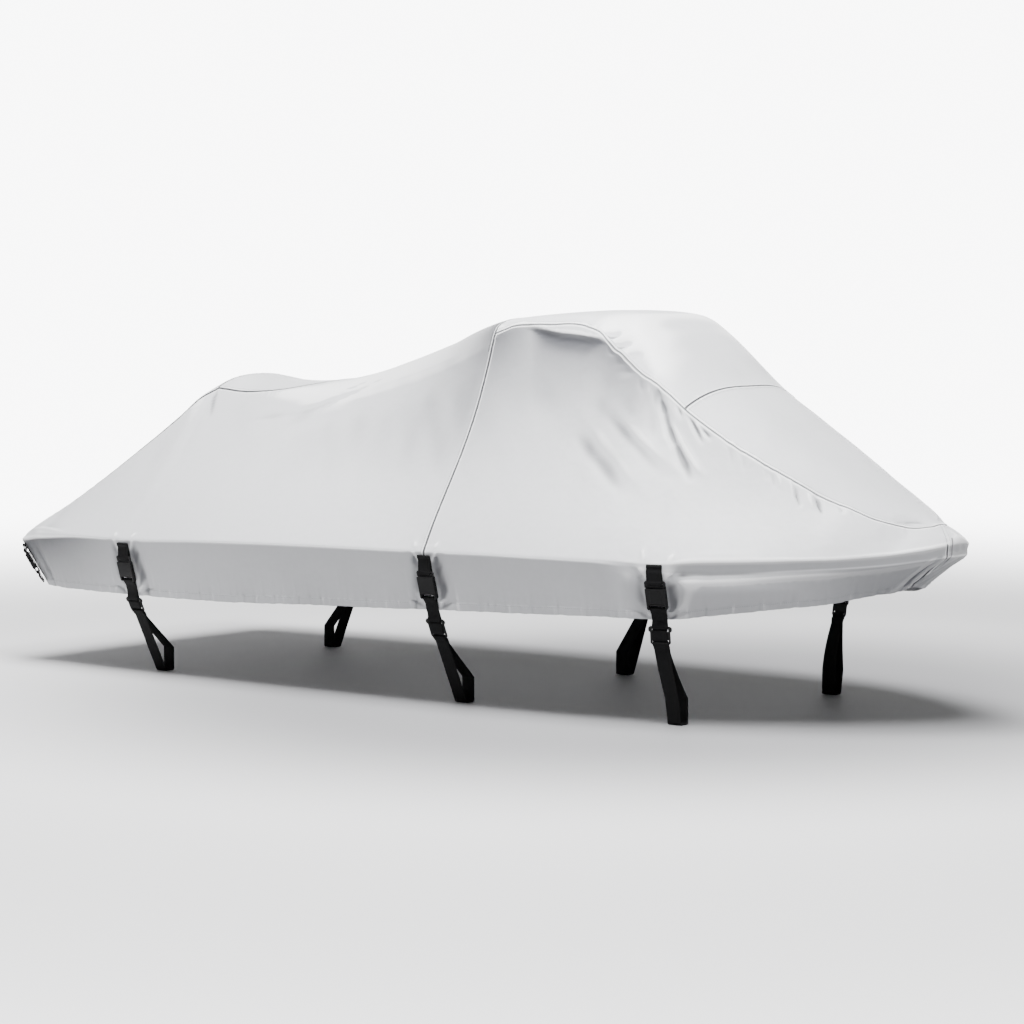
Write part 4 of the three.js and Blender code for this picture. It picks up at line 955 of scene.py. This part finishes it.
# Name, grid, sewn borders, lapped borders, pale borders, hemmed, flat width and length in metres,
# and cut area.
PANELS = [
    ["seat_panel", seat_grid(), ["first", "start", "end"], ["first", "start", "end"], [], False,
     (0.44, 0.46), 0.14],
    ["hood_upper", hood_grid(0, CROSS_SEAM_ROW, 60), ["first", "last", "start", "end"],
     ["first", "start", "end"], ["start", "end"], False, (0.72, 0.86), 0.47],
    ["hood_lower", hood_grid(CROSS_SEAM_ROW, len(HOOD_SEAM) - 1, 60), ["first", "start", "end"],
     ["first", "start", "end"], ["start", "end"], False, (0.66, 0.74), 0.34],
    ["stern_panel", stern_grid(), ["start", "first", "last"], ["start", "first", "last"], [], True,
     (1.24, 0.94), 0.76],
    ["side_rear_starboard", rear_side(-1), ["start", "first", "last"], ["last"], [], True,
     (1.05, 1.80), 1.46],
    ["side_rear_port", rear_side(1), ["start", "first", "last"], ["last"], [], True,
     (1.05, 1.80), 1.46],
    ["side_front_starboard", front_side(-1), ["start", "first", "last"], [], ["start"], True,
     (0.95, 1.72), 1.0],
    ["side_front_port", front_side(1), ["start", "first", "last"], ["last"], ["start"], True,
     (0.95, 1.78), 1.0],
]
for name, grid, seams, lapped, pale, hemmed, flat, area in PANELS:
    at_front = name.startswith("side_front")
    hollow = CONSOLE_HOLLOW if at_front else 0.0
    faint = ("last", STEM_LINE_TOP) if at_front else ("", 0)
    panel = cloth_panel(name + "_cloth", grid, seams, lapped, hemmed, hollow, pale,
                        MARKS.get(name, []), faint)
    panel.data.materials.append(coated_polyester)
    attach(panel, "root")
    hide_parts(name)

# ---------------------------------------------------------------- stitches
# Two rows of lock stitches hold each lapped seam, and one row the hem. Bonded polyester thread,
# mid grey, about four stitches to the inch: short round lengths of thread laid end to end, in
# metres. The twist of the thread is finer than it is drawn here.
STITCH_PITCH, STITCH_LENGTH, THREAD, THREAD_TWIST = 0.0062, 0.0044, 0.0011, 0.00143
sewing_thread, tree, shader = new_material("bonded_polyester_thread")
place = add(tree, "ShaderNodeTexCoord", {}).outputs["Object"]
twist = add(tree, "ShaderNodeTexNoise", {"Vector": place, "Scale": 1 / THREAD_TWIST,
                                         "Detail": 2.0}).outputs["Fac"]
tone = add(tree, "ShaderNodeMixRGB", {"Fac": twist, "Color1": linear("#77787b"),
                                      "Color2": linear("#96979a")}).outputs[0]
tree.links.new(tone, shader.inputs["Base Color"])
shader.inputs["Roughness"].default_value = 0.6
tree.links.new(add(tree, "ShaderNodeBump", {"Height": twist, "Strength": 0.4, "Distance": 0.0002})
               .outputs[0], shader.inputs["Normal"])


def stitch_nodes():
    """Geometry nodes that lay stitches along the edges of a mesh."""
    tree = bpy.data.node_groups.new("lay_stitches", "GeometryNodeTree")
    face = tree.interface
    face.new_socket("Geometry", in_out="INPUT", socket_type="NodeSocketGeometry")
    names = ["Pitch", "Length", "Thickness", "Wander"]
    for name in names:
        face.new_socket(name, in_out="INPUT", socket_type="NodeSocketFloat")
    face.new_socket("Thread", in_out="INPUT", socket_type="NodeSocketMaterial")
    face.new_socket("Geometry", in_out="OUTPUT", socket_type="NodeSocketGeometry")
    given = add(tree, "NodeGroupInput", {}).outputs
    curve = add(tree, "GeometryNodeMeshToCurve", {"Mesh": given["Geometry"]}).outputs["Curve"]
    even = add(tree, "GeometryNodeResampleCurve", {"Curve": curve, "Length": given["Pitch"]},
               mode="LENGTH").outputs["Curve"]
    tangent = add(tree, "GeometryNodeInputTangent", {}).outputs["Tangent"]
    turn = add(tree, "FunctionNodeAlignRotationToVector", {"Vector": tangent}, axis="X")
    swing = add(tree, "FunctionNodeRandomValue", {"Seed": 7}, data_type="FLOAT")
    tree.links.new(given["Wander"], swing.inputs[3])
    tilt = add(tree, "ShaderNodeCombineXYZ", {"Z": swing.outputs[1]}).outputs[0]
    turned = add(tree, "FunctionNodeRotateRotation", {"Rotation": turn.outputs[0], "Rotate By": tilt},
                 rotation_space="LOCAL").outputs[0]
    bead = add(tree, "GeometryNodeMeshIcoSphere", {"Radius": 0.5, "Subdivisions": 1}).outputs["Mesh"]
    size = add(tree, "ShaderNodeCombineXYZ", {"X": given["Length"], "Y": given["Thickness"],
                                              "Z": given["Thickness"]}).outputs[0]
    laid = add(tree, "GeometryNodeInstanceOnPoints", {"Points": even, "Instance": bead,
                                                      "Rotation": turned, "Scale": size})
    real = add(tree, "GeometryNodeRealizeInstances", {"Geometry": laid.outputs[0]}).outputs[0]
    done = add(tree, "GeometryNodeSetMaterial", {"Geometry": real, "Material": given["Thread"]})
    tree.links.new(done.outputs[0], add(tree, "NodeGroupOutput", {}).inputs["Geometry"])
    return tree


points, edges = [], []
for line in seam_lines:
    edges += [(len(points) + k, len(points) + k + 1) for k in range(len(line) - 1)]
    points += placed(line).tolist()
mesh = bpy.data.meshes.new("stitch_lines")
mesh.from_pydata(points, edges, [])
sewing_lines = linked("stitch_lines", mesh)
laying = sewing_lines.modifiers.new("stitches", "NODES")
laying.node_group = stitch_nodes()
values = {"Pitch": STITCH_PITCH, "Length": STITCH_LENGTH, "Thickness": THREAD, "Wander": 0.12,
          "Thread": sewing_thread}
for socket in laying.node_group.interface.items_tree:
    if socket.in_out == "INPUT" and socket.name in values:
        laying[socket.identifier] = values[socket.name]
bpy.context.view_layer.update()
evaluated = sewing_lines.evaluated_get(bpy.context.evaluated_depsgraph_get())
stitches = linked("seam_stitches", bpy.data.meshes.new_from_object(evaluated))
bpy.data.objects.remove(sewing_lines)
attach(stitches, "root")

# ---------------------------------------------------------------- webbing of the straps
# Each strap is flat black polypropylene webbing, 46 mm wide: a loop sewn to the skirt and threaded
# on the buckle, a link from buckle to slider, and a long loop that goes round the trailer's rail.
# Places are measured in millimetres down the strap from the deck's edge.
WEBBING_WIDTH, WEBBING, WEBBING_LIFT, LAYER, WRAP_RADIUS, SELVEDGE = 46, 1.8, 1.7, 2.4, 5, 0.8
STRAP_COLUMNS = ["start", "bar", "mouth", "buckle_end", "slider_top", "slider_end"]
STRAPS = {
    "aft": [16, 57, 76, 142, 199, 249],
    "middle": [15, 62, 79, 149, 214, 276],
    "fore": [5, 50, 71, 139, 192, 246],
    "stern": [49, 65, 82, 137, 149, 191],
}
BAR_HIGH, LOOP_LAP, PINCH = 5, 18, 18
RAIL_OUTER, RAIL_INNER, RAIL_TOP, RAIL_FOOT = 428, 396, -372, -444


class StrapLine:
    """The line a strap hangs along, in the upright plane square to the deck's edge."""

    def __init__(self, x):
        self.x, self.beam, self.sheer = x, float(edge["beam"](x)), float(edge["sheer"](x))
        corners = np.array([
            [0, 0],
            [edge["lip"](x), -edge["band"](x)],
            [-edge["inset"](x), edge["hem"](x) - self.sheer],
            [RAIL_OUTER - self.beam, RAIL_FOOT - self.sheer],
        ], float)
        self.starts = corners[:3]
        legs = np.diff(corners, axis=0)
        lengths = np.linalg.norm(legs, axis=1)
        self.along = legs / lengths[:, None]
        self.off = np.stack([-self.along[:, 1], self.along[:, 0]], 1)
        self.bends = np.cumsum(lengths[:2])

    def at(self, u, lift):
        """The point u down the strap and lift off the cloth, as (out, rise)."""
        k = int(np.searchsorted(self.bends, u, side="right"))
        start = self.bends[k - 1] if k else 0
        off = self.off[k]
        if k and u - start < 1e-6:
            off = self.off[k] + self.off[k - 1]
            off = off / (off @ self.off[k])
        return self.starts[k] + self.along[k] * (u - start) + off * lift

    def bent(self, path):
        """Points for a list of (u, lift), with one more at each bend that it passes."""
        points = [self.at(*path[0])]
        for (pu, pl), (u, lift) in zip(path, path[1:]):
            between = [b for b in self.bends if (b - u) * (b - pu) < 0]
            for b in between[::-1] if u < pu else between:
                points.append(self.at(b, pl + (lift - pl) * (b - pu) / (u - pu)))
            points.append(self.at(u, lift))
        return points


def wrap(u, side, turn):
    """Half a turn of webbing round a bar, below it (side 1) or above it (side -1)."""
    angles = np.linspace(0, np.pi, 9)
    middle = WEBBING_LIFT + WRAP_RADIUS
    return [(u + side * WRAP_RADIUS * math.sin(a), middle - turn * WRAP_RADIUS * math.cos(a))
            for a in angles]


def strap_place(strap, line, side, at_stern):
    """Turns a strap's own (across, out, rise) into the craft's datum."""
    slope = float(edge["beam"](line.x + 12) - edge["beam"](line.x - 12)) / 24
    swing = math.atan2(-1, 1) if at_stern else math.atan2(-slope, 1)
    rail_top, foot = RAIL_TOP - line.sheer, line.at(strap["slider_end"], 0)[1]

    def place(across, out, rise):
        turn = swing if at_stern else swing * np.clip((rise - rail_top) / (foot - rail_top), 0, 1)
        return np.stack([
            line.x + out * np.sin(turn) + across * np.cos(turn),
            side * (line.beam + out * np.cos(turn) - across * np.sin(turn)),
            line.sheer + rise + 0 * out,
        ], -1)

    return place


def top_loop(strap, line):
    """From the skirt down round the buckle's bar, and back up to a folded end."""
    start, bar = strap["start"], strap["bar"] + BAR_HIGH / 2
    second = WEBBING_LIFT + LAYER
    return line.bent([(start + 1, WEBBING_LIFT)] + wrap(bar, 1, 1)
                     + [(start + 0.35 * (bar - start), second), (start + 2, second),
                        (start, second + 0.9), (start + 1, second + 2.1), (start + 9, second + 2.0)])


def link(strap, line):
    """A closed loop round the buckle's lower bar and the slider's upper one."""
    upper, lower = strap["buckle_end"] - BAR_HIGH / 2, strap["slider_top"] + BAR_HIGH / 2
    middle, second = (upper + lower) / 2, WEBBING_LIFT + LAYER
    pinch = [(upper + PINCH, second), (lower - PINCH, second)] if lower - upper > 3 * PINCH else []
    return line.bent([(middle - 1, WEBBING_LIFT)] + wrap(upper, -1, 1) + pinch
                     + wrap(lower, 1, -1) + [(middle + 1, WEBBING_LIFT)])


def rail_loop(strap, line):
    """From the slider's lower bar down round the trailer's rail and up behind to the slider."""
    bar, clear, turn = strap["slider_end"] - BAR_HIGH / 2, 1.6, 4
    outer, inner = RAIL_OUTER - line.beam + clear, RAIL_INNER - line.beam - clear
    top, foot = RAIL_TOP - line.sheer, RAIL_FOOT - line.sheer - clear
    upper = line.bent([(bar + LOOP_LAP + 4, WEBBING_LIFT)] + wrap(bar, -1, 1)
                      + [(bar + LOOP_LAP, WEBBING_LIFT + LAYER)])
    last = line.bent([(bar + LOOP_LAP + 8, WEBBING_LIFT - LAYER), (bar + 8, WEBBING_LIFT - LAYER)])
    down, up = np.array([outer, foot + turn]), np.array([inner, top])
    bow = [upper[-1] + (down - upper[-1]) * t for t in (0.25, 0.5, 0.75)]
    round_rail = [np.array(p) for p in ([outer - 1.2, foot + 1.2], [outer - turn, foot],
                                        [inner + turn, foot], [inner + 1.2, foot + 1.2],
                                        [inner, foot + turn])]
    return (upper + bow + [down] + round_rail + [up] + [up + (last[0] - up) * t for t in (0.3, 0.65)]
            + last)


def webbing_strip(name, points, place):
    """A strip of webbing with rounded edges, whose middle runs through points of the strap's plane."""
    points = np.array(points)
    fine = [points[0]]
    for p, q in zip(points, points[1:]):
        count = max(int(np.linalg.norm(q - p) / 7), 1)
        fine += [p + (q - p) * k / count for k in range(1, count + 1)]
    points = np.array(fine)
    step = np.diff(points, axis=0)
    step = step / np.linalg.norm(step, axis=1, keepdims=True)
    ahead, behind = np.vstack([step, step[-1:]]), np.vstack([step[:1], step])
    off = np.stack([-(ahead + behind)[:, 1], (ahead + behind)[:, 0]], 1)
    off = off / np.linalg.norm(off, axis=1, keepdims=True)
    square = np.stack([-ahead[:, 1], ahead[:, 0]], 1)
    off = off / np.maximum((off * square).sum(1), 0.5)[:, None]
    w, h = WEBBING_WIDTH / 2, WEBBING / 2
    back = [(-w, -h * 0.4), (-w + SELVEDGE, -h), (-w / 2, -h * 0.94), (0, -h), (w / 2, -h * 0.94),
            (w - SELVEDGE, -h), (w, -h * 0.4)]
    profile = back + [(-across, -lift) for across, lift in back]
    rings = np.stack([place(across, *(points + off * lift).T) for across, lift in profile], 1)
    count, sides, _ = rings.shape
    faces = []
    for i in range(count - 1):
        for k in range(sides):
            a, b = i * sides + k, i * sides + (k + 1) % sides
            faces.append((a, b, b + sides, a + sides))
    faces += [tuple(range(sides))[::-1], tuple(range((count - 1) * sides, count * sides))]
    layers = {"across": np.tile([across for across, _ in profile], count),
              "along": np.repeat(running_length(*points.T), sides)}
    piece = new_mesh(name, rings.reshape(-1, 3), faces, layers)
    made = bmesh.new()
    made.from_mesh(piece.data)
    bmesh.ops.recalc_face_normals(made, faces=made.faces)
    filled(piece.data, made)
    return piece


# Polypropylene webbing: woven with ribs that cross its width about every 2.4 mm, here 3 mm, and a
# flat selvedge. Black, matt with a dull gleam on each rib, and greyer where it has been handled, in
# patches of fuzz. All three widths are in millimetres.
RIB_PITCH, CORD_PITCH, FUZZ = 3.0, 4.2, 6.25
black_webbing, tree, shader = new_material("black_polypropylene_webbing")
place_at = add(tree, "ShaderNodeTexCoord", {}).outputs["Object"]
woven = weave_of(tree, {"along": RIB_PITCH, "across": CORD_PITCH})
fuzz = add(tree, "ShaderNodeTexNoise", {"Vector": place_at, "Scale": 1000 / FUZZ,
                                        "Detail": 3.0}).outputs["Fac"]
tone = add(tree, "ShaderNodeMixRGB", {"Fac": fuzz, "Color1": linear("#060607"),
                                      "Color2": linear("#101011")}).outputs[0]
tree.links.new(tone, shader.inputs["Base Color"])
rough = add(tree, "ShaderNodeMapRange", {"Value": woven, "From Min": -1.0, "To Min": 0.72,
                                         "To Max": 0.58}).outputs[0]
tree.links.new(rough, shader.inputs["Roughness"])
shader.inputs["Specular IOR Level"].default_value = 0.15
bump = add(tree, "ShaderNodeBump", {"Height": woven, "Strength": 0.6, "Distance": 0.0003})
tree.links.new(bump.outputs[0], shader.inputs["Normal"])

# ---------------------------------------------------------------- buckles and sliders
# Side-release buckles and three-bar sliders, moulded in black acetal. The two halves of a buckle
# are snapped together; the webbing is threaded round their end bars and the sliders' bars.

# Moulded acetal: black with a dull gleam, from a grit in the mould of about 0.1 mm, drawn as 1.1 mm
# so that it shows. Handling makes it a little greyer and rougher in patches. Both in millimetres.
GRIT, WEAR = 1.111, 16.67
black_acetal, tree, shader = new_material("black_moulded_acetal")
place_at = add(tree, "ShaderNodeTexCoord", {}).outputs["Object"]
fine = add(tree, "ShaderNodeTexNoise", {"Vector": place_at, "Scale": 1000 / GRIT,
                                        "Detail": 2.0}).outputs["Fac"]
worn = add(tree, "ShaderNodeTexNoise", {"Vector": place_at, "Scale": 1000 / WEAR,
                                        "Detail": 3.0}).outputs["Fac"]
tone = add(tree, "ShaderNodeMixRGB", {"Fac": worn, "Color1": linear("#0b0b0c"),
                                      "Color2": linear("#151516")}).outputs[0]
tree.links.new(tone, shader.inputs["Base Color"])
rough = add(tree, "ShaderNodeMapRange", {"Value": worn, "To Min": 0.42, "To Max": 0.56}).outputs[0]
tree.links.new(rough, shader.inputs["Roughness"])
shader.inputs["Specular IOR Level"].default_value = 0.2
bump = add(tree, "ShaderNodeBump", {"Height": fine, "Strength": 0.3, "Distance": 0.00008})
tree.links.new(bump.outputs[0], shader.inputs["Normal"])


def moulded(name, node, width):
    """A moulded piece with rounded edges, from a CAD node's own solid."""
    mesh = frame["nodes"][node].data.copy()
    mesh.materials.clear()
    made = bmesh.new()
    made.from_mesh(mesh)
    bmesh.ops.remove_doubles(made, verts=made.verts, dist=1e-5)
    bmesh.ops.dissolve_limit(made, angle_limit=math.radians(2), verts=made.verts, edges=made.edges)
    sharp = [e for e in made.edges if len(e.link_faces) == 2 and e.calc_face_angle(0) > math.radians(30)]
    bmesh.ops.bevel(made, geom=sharp, offset=width / 1000, segments=2, affect="EDGES", profile=0.6,
                    clamp_overlap=True)
    bmesh.ops.triangulate(made, faces=[f for f in made.faces if len(f.verts) > 4])
    filled(mesh, made)
    return linked(name, mesh)


def face_pad(name, line, place, top, end, half, back, front):
    """A raised face on a fitting: a plate with sloping sides, laid on the strap's line."""
    made = bmesh.new()
    rings = []
    for lift, inset in ((back, 0), (front - 0.6, 0.3), (front, 1.4)):
        corners = [(-half + inset, top + inset), (half - inset, top + inset),
                   (half - inset, end - inset), (-half + inset, end - inset)]
        rings.append([made.verts.new(placed(place(across, *line.at(u, lift)))) for across, u in corners])
    for low, high in zip(rings, rings[1:]):
        for k in range(4):
            made.faces.new((low[k], low[(k + 1) % 4], high[(k + 1) % 4], high[k]))
    made.faces.new(rings[0][::-1])
    made.faces.new(rings[-1])
    bmesh.ops.recalc_face_normals(made, faces=made.faces)
    mesh = bpy.data.meshes.new(name)
    made.to_mesh(mesh)
    made.free()
    return linked(name, mesh)


# The doubled end of the webbing, rolled over the buckle's bar: place from the bar and lift. The
# webbing over a slider's middle: place from either end of the slider and lift.
BUCKLE_ROLL = [(-1, 10.4), (1, 12.0), (4, 12.9), (8, 12.9), (12, 11.6), (15, 8.6), (15.6, 5.0), (13.5, 2.6)]
SLIDER_RISE = [(6.5, 3.4), (9, 5.4), (12.5, 9.2), (16, 10.7)]


def fitted(piece, material, node=None):
    """Gives a strap's piece its material, hangs it on the root body, and hides the node that it stands for.
    """
    piece.data.materials.append(material)
    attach(piece, "root")
    if node:
        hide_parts(node)


EDGE_ROUND = {"buckle_male": 1.0, "buckle_female": 1.2, "slider": 1.0}
for strap_name, row in STRAPS.items():
    strap = dict(zip(STRAP_COLUMNS, row))
    line = StrapLine(STRAP_X[strap_name])
    bar, mouth, buckle_end, slider_top, slider_end = row[1:]
    loops = {"top_loop": top_loop(strap, line), "link": link(strap, line)}
    if strap_name != "stern":
        loops["rail_loop"] = rail_loop(strap, line)
    threaded = {
        "buckle_roll": line.bent([(bar + u, lift) for u, lift in BUCKLE_ROLL]),
        "slider_web": line.bent([(slider_top + u, lift) for u, lift in SLIDER_RISE]
                                + [(slider_end - u, lift) for u, lift in SLIDER_RISE[::-1]]),
    }
    # Top, end, half width, back and front of the raised faces.
    pads = {"buckle_face": (mouth + 5, buckle_end - 22, 17, 13.9, 15.2),
            "buckle_rib": (buckle_end - 19.5, buckle_end - 15.5, 25, 13.9, 15.6)}
    for side, side_name in ((-1, "starboard"), (1, "port")):
        stem = strap_name + "_" + side_name + "_"
        place = strap_place(strap, line, side, strap_name == "stern")
        for part, path in loops.items():
            piece = webbing_strip(stem + part + "_webbing", path, place)
            fitted(piece, black_webbing, stem + part)
        for part, width in EDGE_ROUND.items():
            piece = moulded(stem + part + "_moulding", stem + part, width)
            fitted(piece, black_acetal, stem + part)
        for part, path in threaded.items():
            fitted(webbing_strip(stem + part, path, place), black_webbing)
        for part, sizes in pads.items():
            fitted(face_pad(stem + part, line, place, *sizes), black_acetal)

# ---------------------------------------------------------------- floor, light and camera
# A pale floor that fades into a bright, even sky behind it; round the craft its colour is darker,
# a painted shadow that pales out further off. One large soft light hangs overhead, with weaker ones
# at the bow quarter, to starboard and at the bow, and the camera stands low off the starboard bow.
FLOOR, FLOOR_HALF, FLOOR_GRAIN = -1.1695, 60, 0.001111  # in metres
NEAR_SKY, FAR_SKY = 0.15, 9.0
floor_material, tree, shader = new_material("matt_floor_paint")
shader.inputs["Roughness"].default_value = 0.75
spot = add(tree, "ShaderNodeTexCoord", {}).outputs["Object"]
away = add(tree, "ShaderNodeVectorMath", {0: spot}, operation="LENGTH").outputs["Value"]
# Painted shadow: the floor is darker near the craft and pales out to its own tone further off.
floor_shadow_fade = add(tree, "ShaderNodeMapRange", {"Value": away, "From Min": 1.5, "From Max": 2.7},
            interpolation_type="SMOOTHSTEP").outputs[0]
tone = add(tree, "ShaderNodeMixRGB", {"Fac": floor_shadow_fade, "Color1": linear("#8a8a8c"),
                                      "Color2": linear("#e6e6e7")}).outputs[0]
tree.links.new(tone, shader.inputs["Base Color"])
grain = add(tree, "ShaderNodeTexNoise", {"Vector": spot, "Scale": 1 / FLOOR_GRAIN,
                                         "Detail": 2.0}).outputs["Fac"]
bump = add(tree, "ShaderNodeBump", {"Height": grain, "Strength": 0.1, "Distance": 0.0004})
tree.links.new(bump.outputs[0], shader.inputs["Normal"])
clear = add(tree, "ShaderNodeMapRange", {"Value": away, "From Min": 2.2, "From Max": 9.0},
            interpolation_type="SMOOTHERSTEP").outputs[0]
unseen = add(tree, "ShaderNodeBsdfTransparent", {}).outputs[0]
blend = add(tree, "ShaderNodeMixShader", {0: clear, 1: shader.outputs[0], 2: unseen})
tree.links.new(blend.outputs[0], tree.nodes["Material Output"].inputs["Surface"])
mesh = bpy.data.meshes.new("floor")
corners = [(FLOOR_HALF * x, FLOOR_HALF * y, FLOOR) for x, y in ((-1, -1), (1, -1), (1, 1), (-1, 1))]
mesh.from_pydata(corners, [], [(0, 1, 2, 3)])
floor = linked("floor", mesh)
floor.data.materials.append(floor_material)

world = bpy.data.worlds.new("soft_sky")
bpy.context.scene.world = world
world.use_nodes = True
tree = world.node_tree
toward = add(tree, "ShaderNodeTexCoord", {}).outputs["Generated"]
far_side = add(tree, "ShaderNodeVectorMath", {0: toward, 1: (-0.61, 0.79, 0.0)},
               operation="DOT_PRODUCT").outputs["Value"]
behind = add(tree, "ShaderNodeMapRange", {"Value": far_side, "From Min": 0.8, "From Max": 0.955},
             interpolation_type="SMOOTHSTEP").outputs[0]
climb = add(tree, "ShaderNodeSeparateXYZ", {0: toward}).outputs["Z"]
low = add(tree, "ShaderNodeMapRange", {"Value": climb, "From Min": 0.12, "From Max": 0.25, "To Min": 1.0,
                                       "To Max": 0.0}, interpolation_type="SMOOTHSTEP").outputs[0]
share = add(tree, "ShaderNodeMath", {0: behind, 1: low}, operation="MULTIPLY").outputs[0]
power = add(tree, "ShaderNodeMapRange", {"Value": share, "To Min": NEAR_SKY, "To Max": FAR_SKY}).outputs[0]
tree.links.new(power, tree.nodes["Background"].inputs["Strength"])
tree.nodes["Background"].inputs["Color"].default_value = linear("#fbfbfc")


def aimed(name, data, place, target):
    """A light or camera at a place, facing a target."""
    made = linked(name, data)
    made.location = place
    made.rotation_mode = "QUATERNION"
    made.rotation_quaternion = (Vector(target) - Vector(place)).to_track_quat("-Z", "Y")
    return made


# Size, power in watts, place and target of each square light.
LIGHTS = {
    "overhead": (2.6, 620, (-0.6, -1.1, 4.0), (-0.4, 0, -0.5)),
    "bow_quarter": (1.6, 340, (1.5, -1.7, 3.3), (0.5, 0, -0.4)),
    "starboard": (2.6, 50, (-0.4, -2.2, 3.6), (-0.4, 0, -0.5)),
    "bow": (2.6, 4, (3.8, -1.1, 1.1), (-0.4, 0, -0.5)),
}
for name, (size, power, place, target) in LIGHTS.items():
    light = bpy.data.lights.new(name, "AREA")
    light.shape, light.size, light.energy = "SQUARE", size, power
    aimed(name, light, place, target)

camera = bpy.data.cameras.new("camera")
camera.lens, camera.sensor_width = 106.0, 36.0
bpy.context.scene.camera = aimed("camera", camera, (5.288, -7.408, 0.055), (-0.458, 0, -0.629))
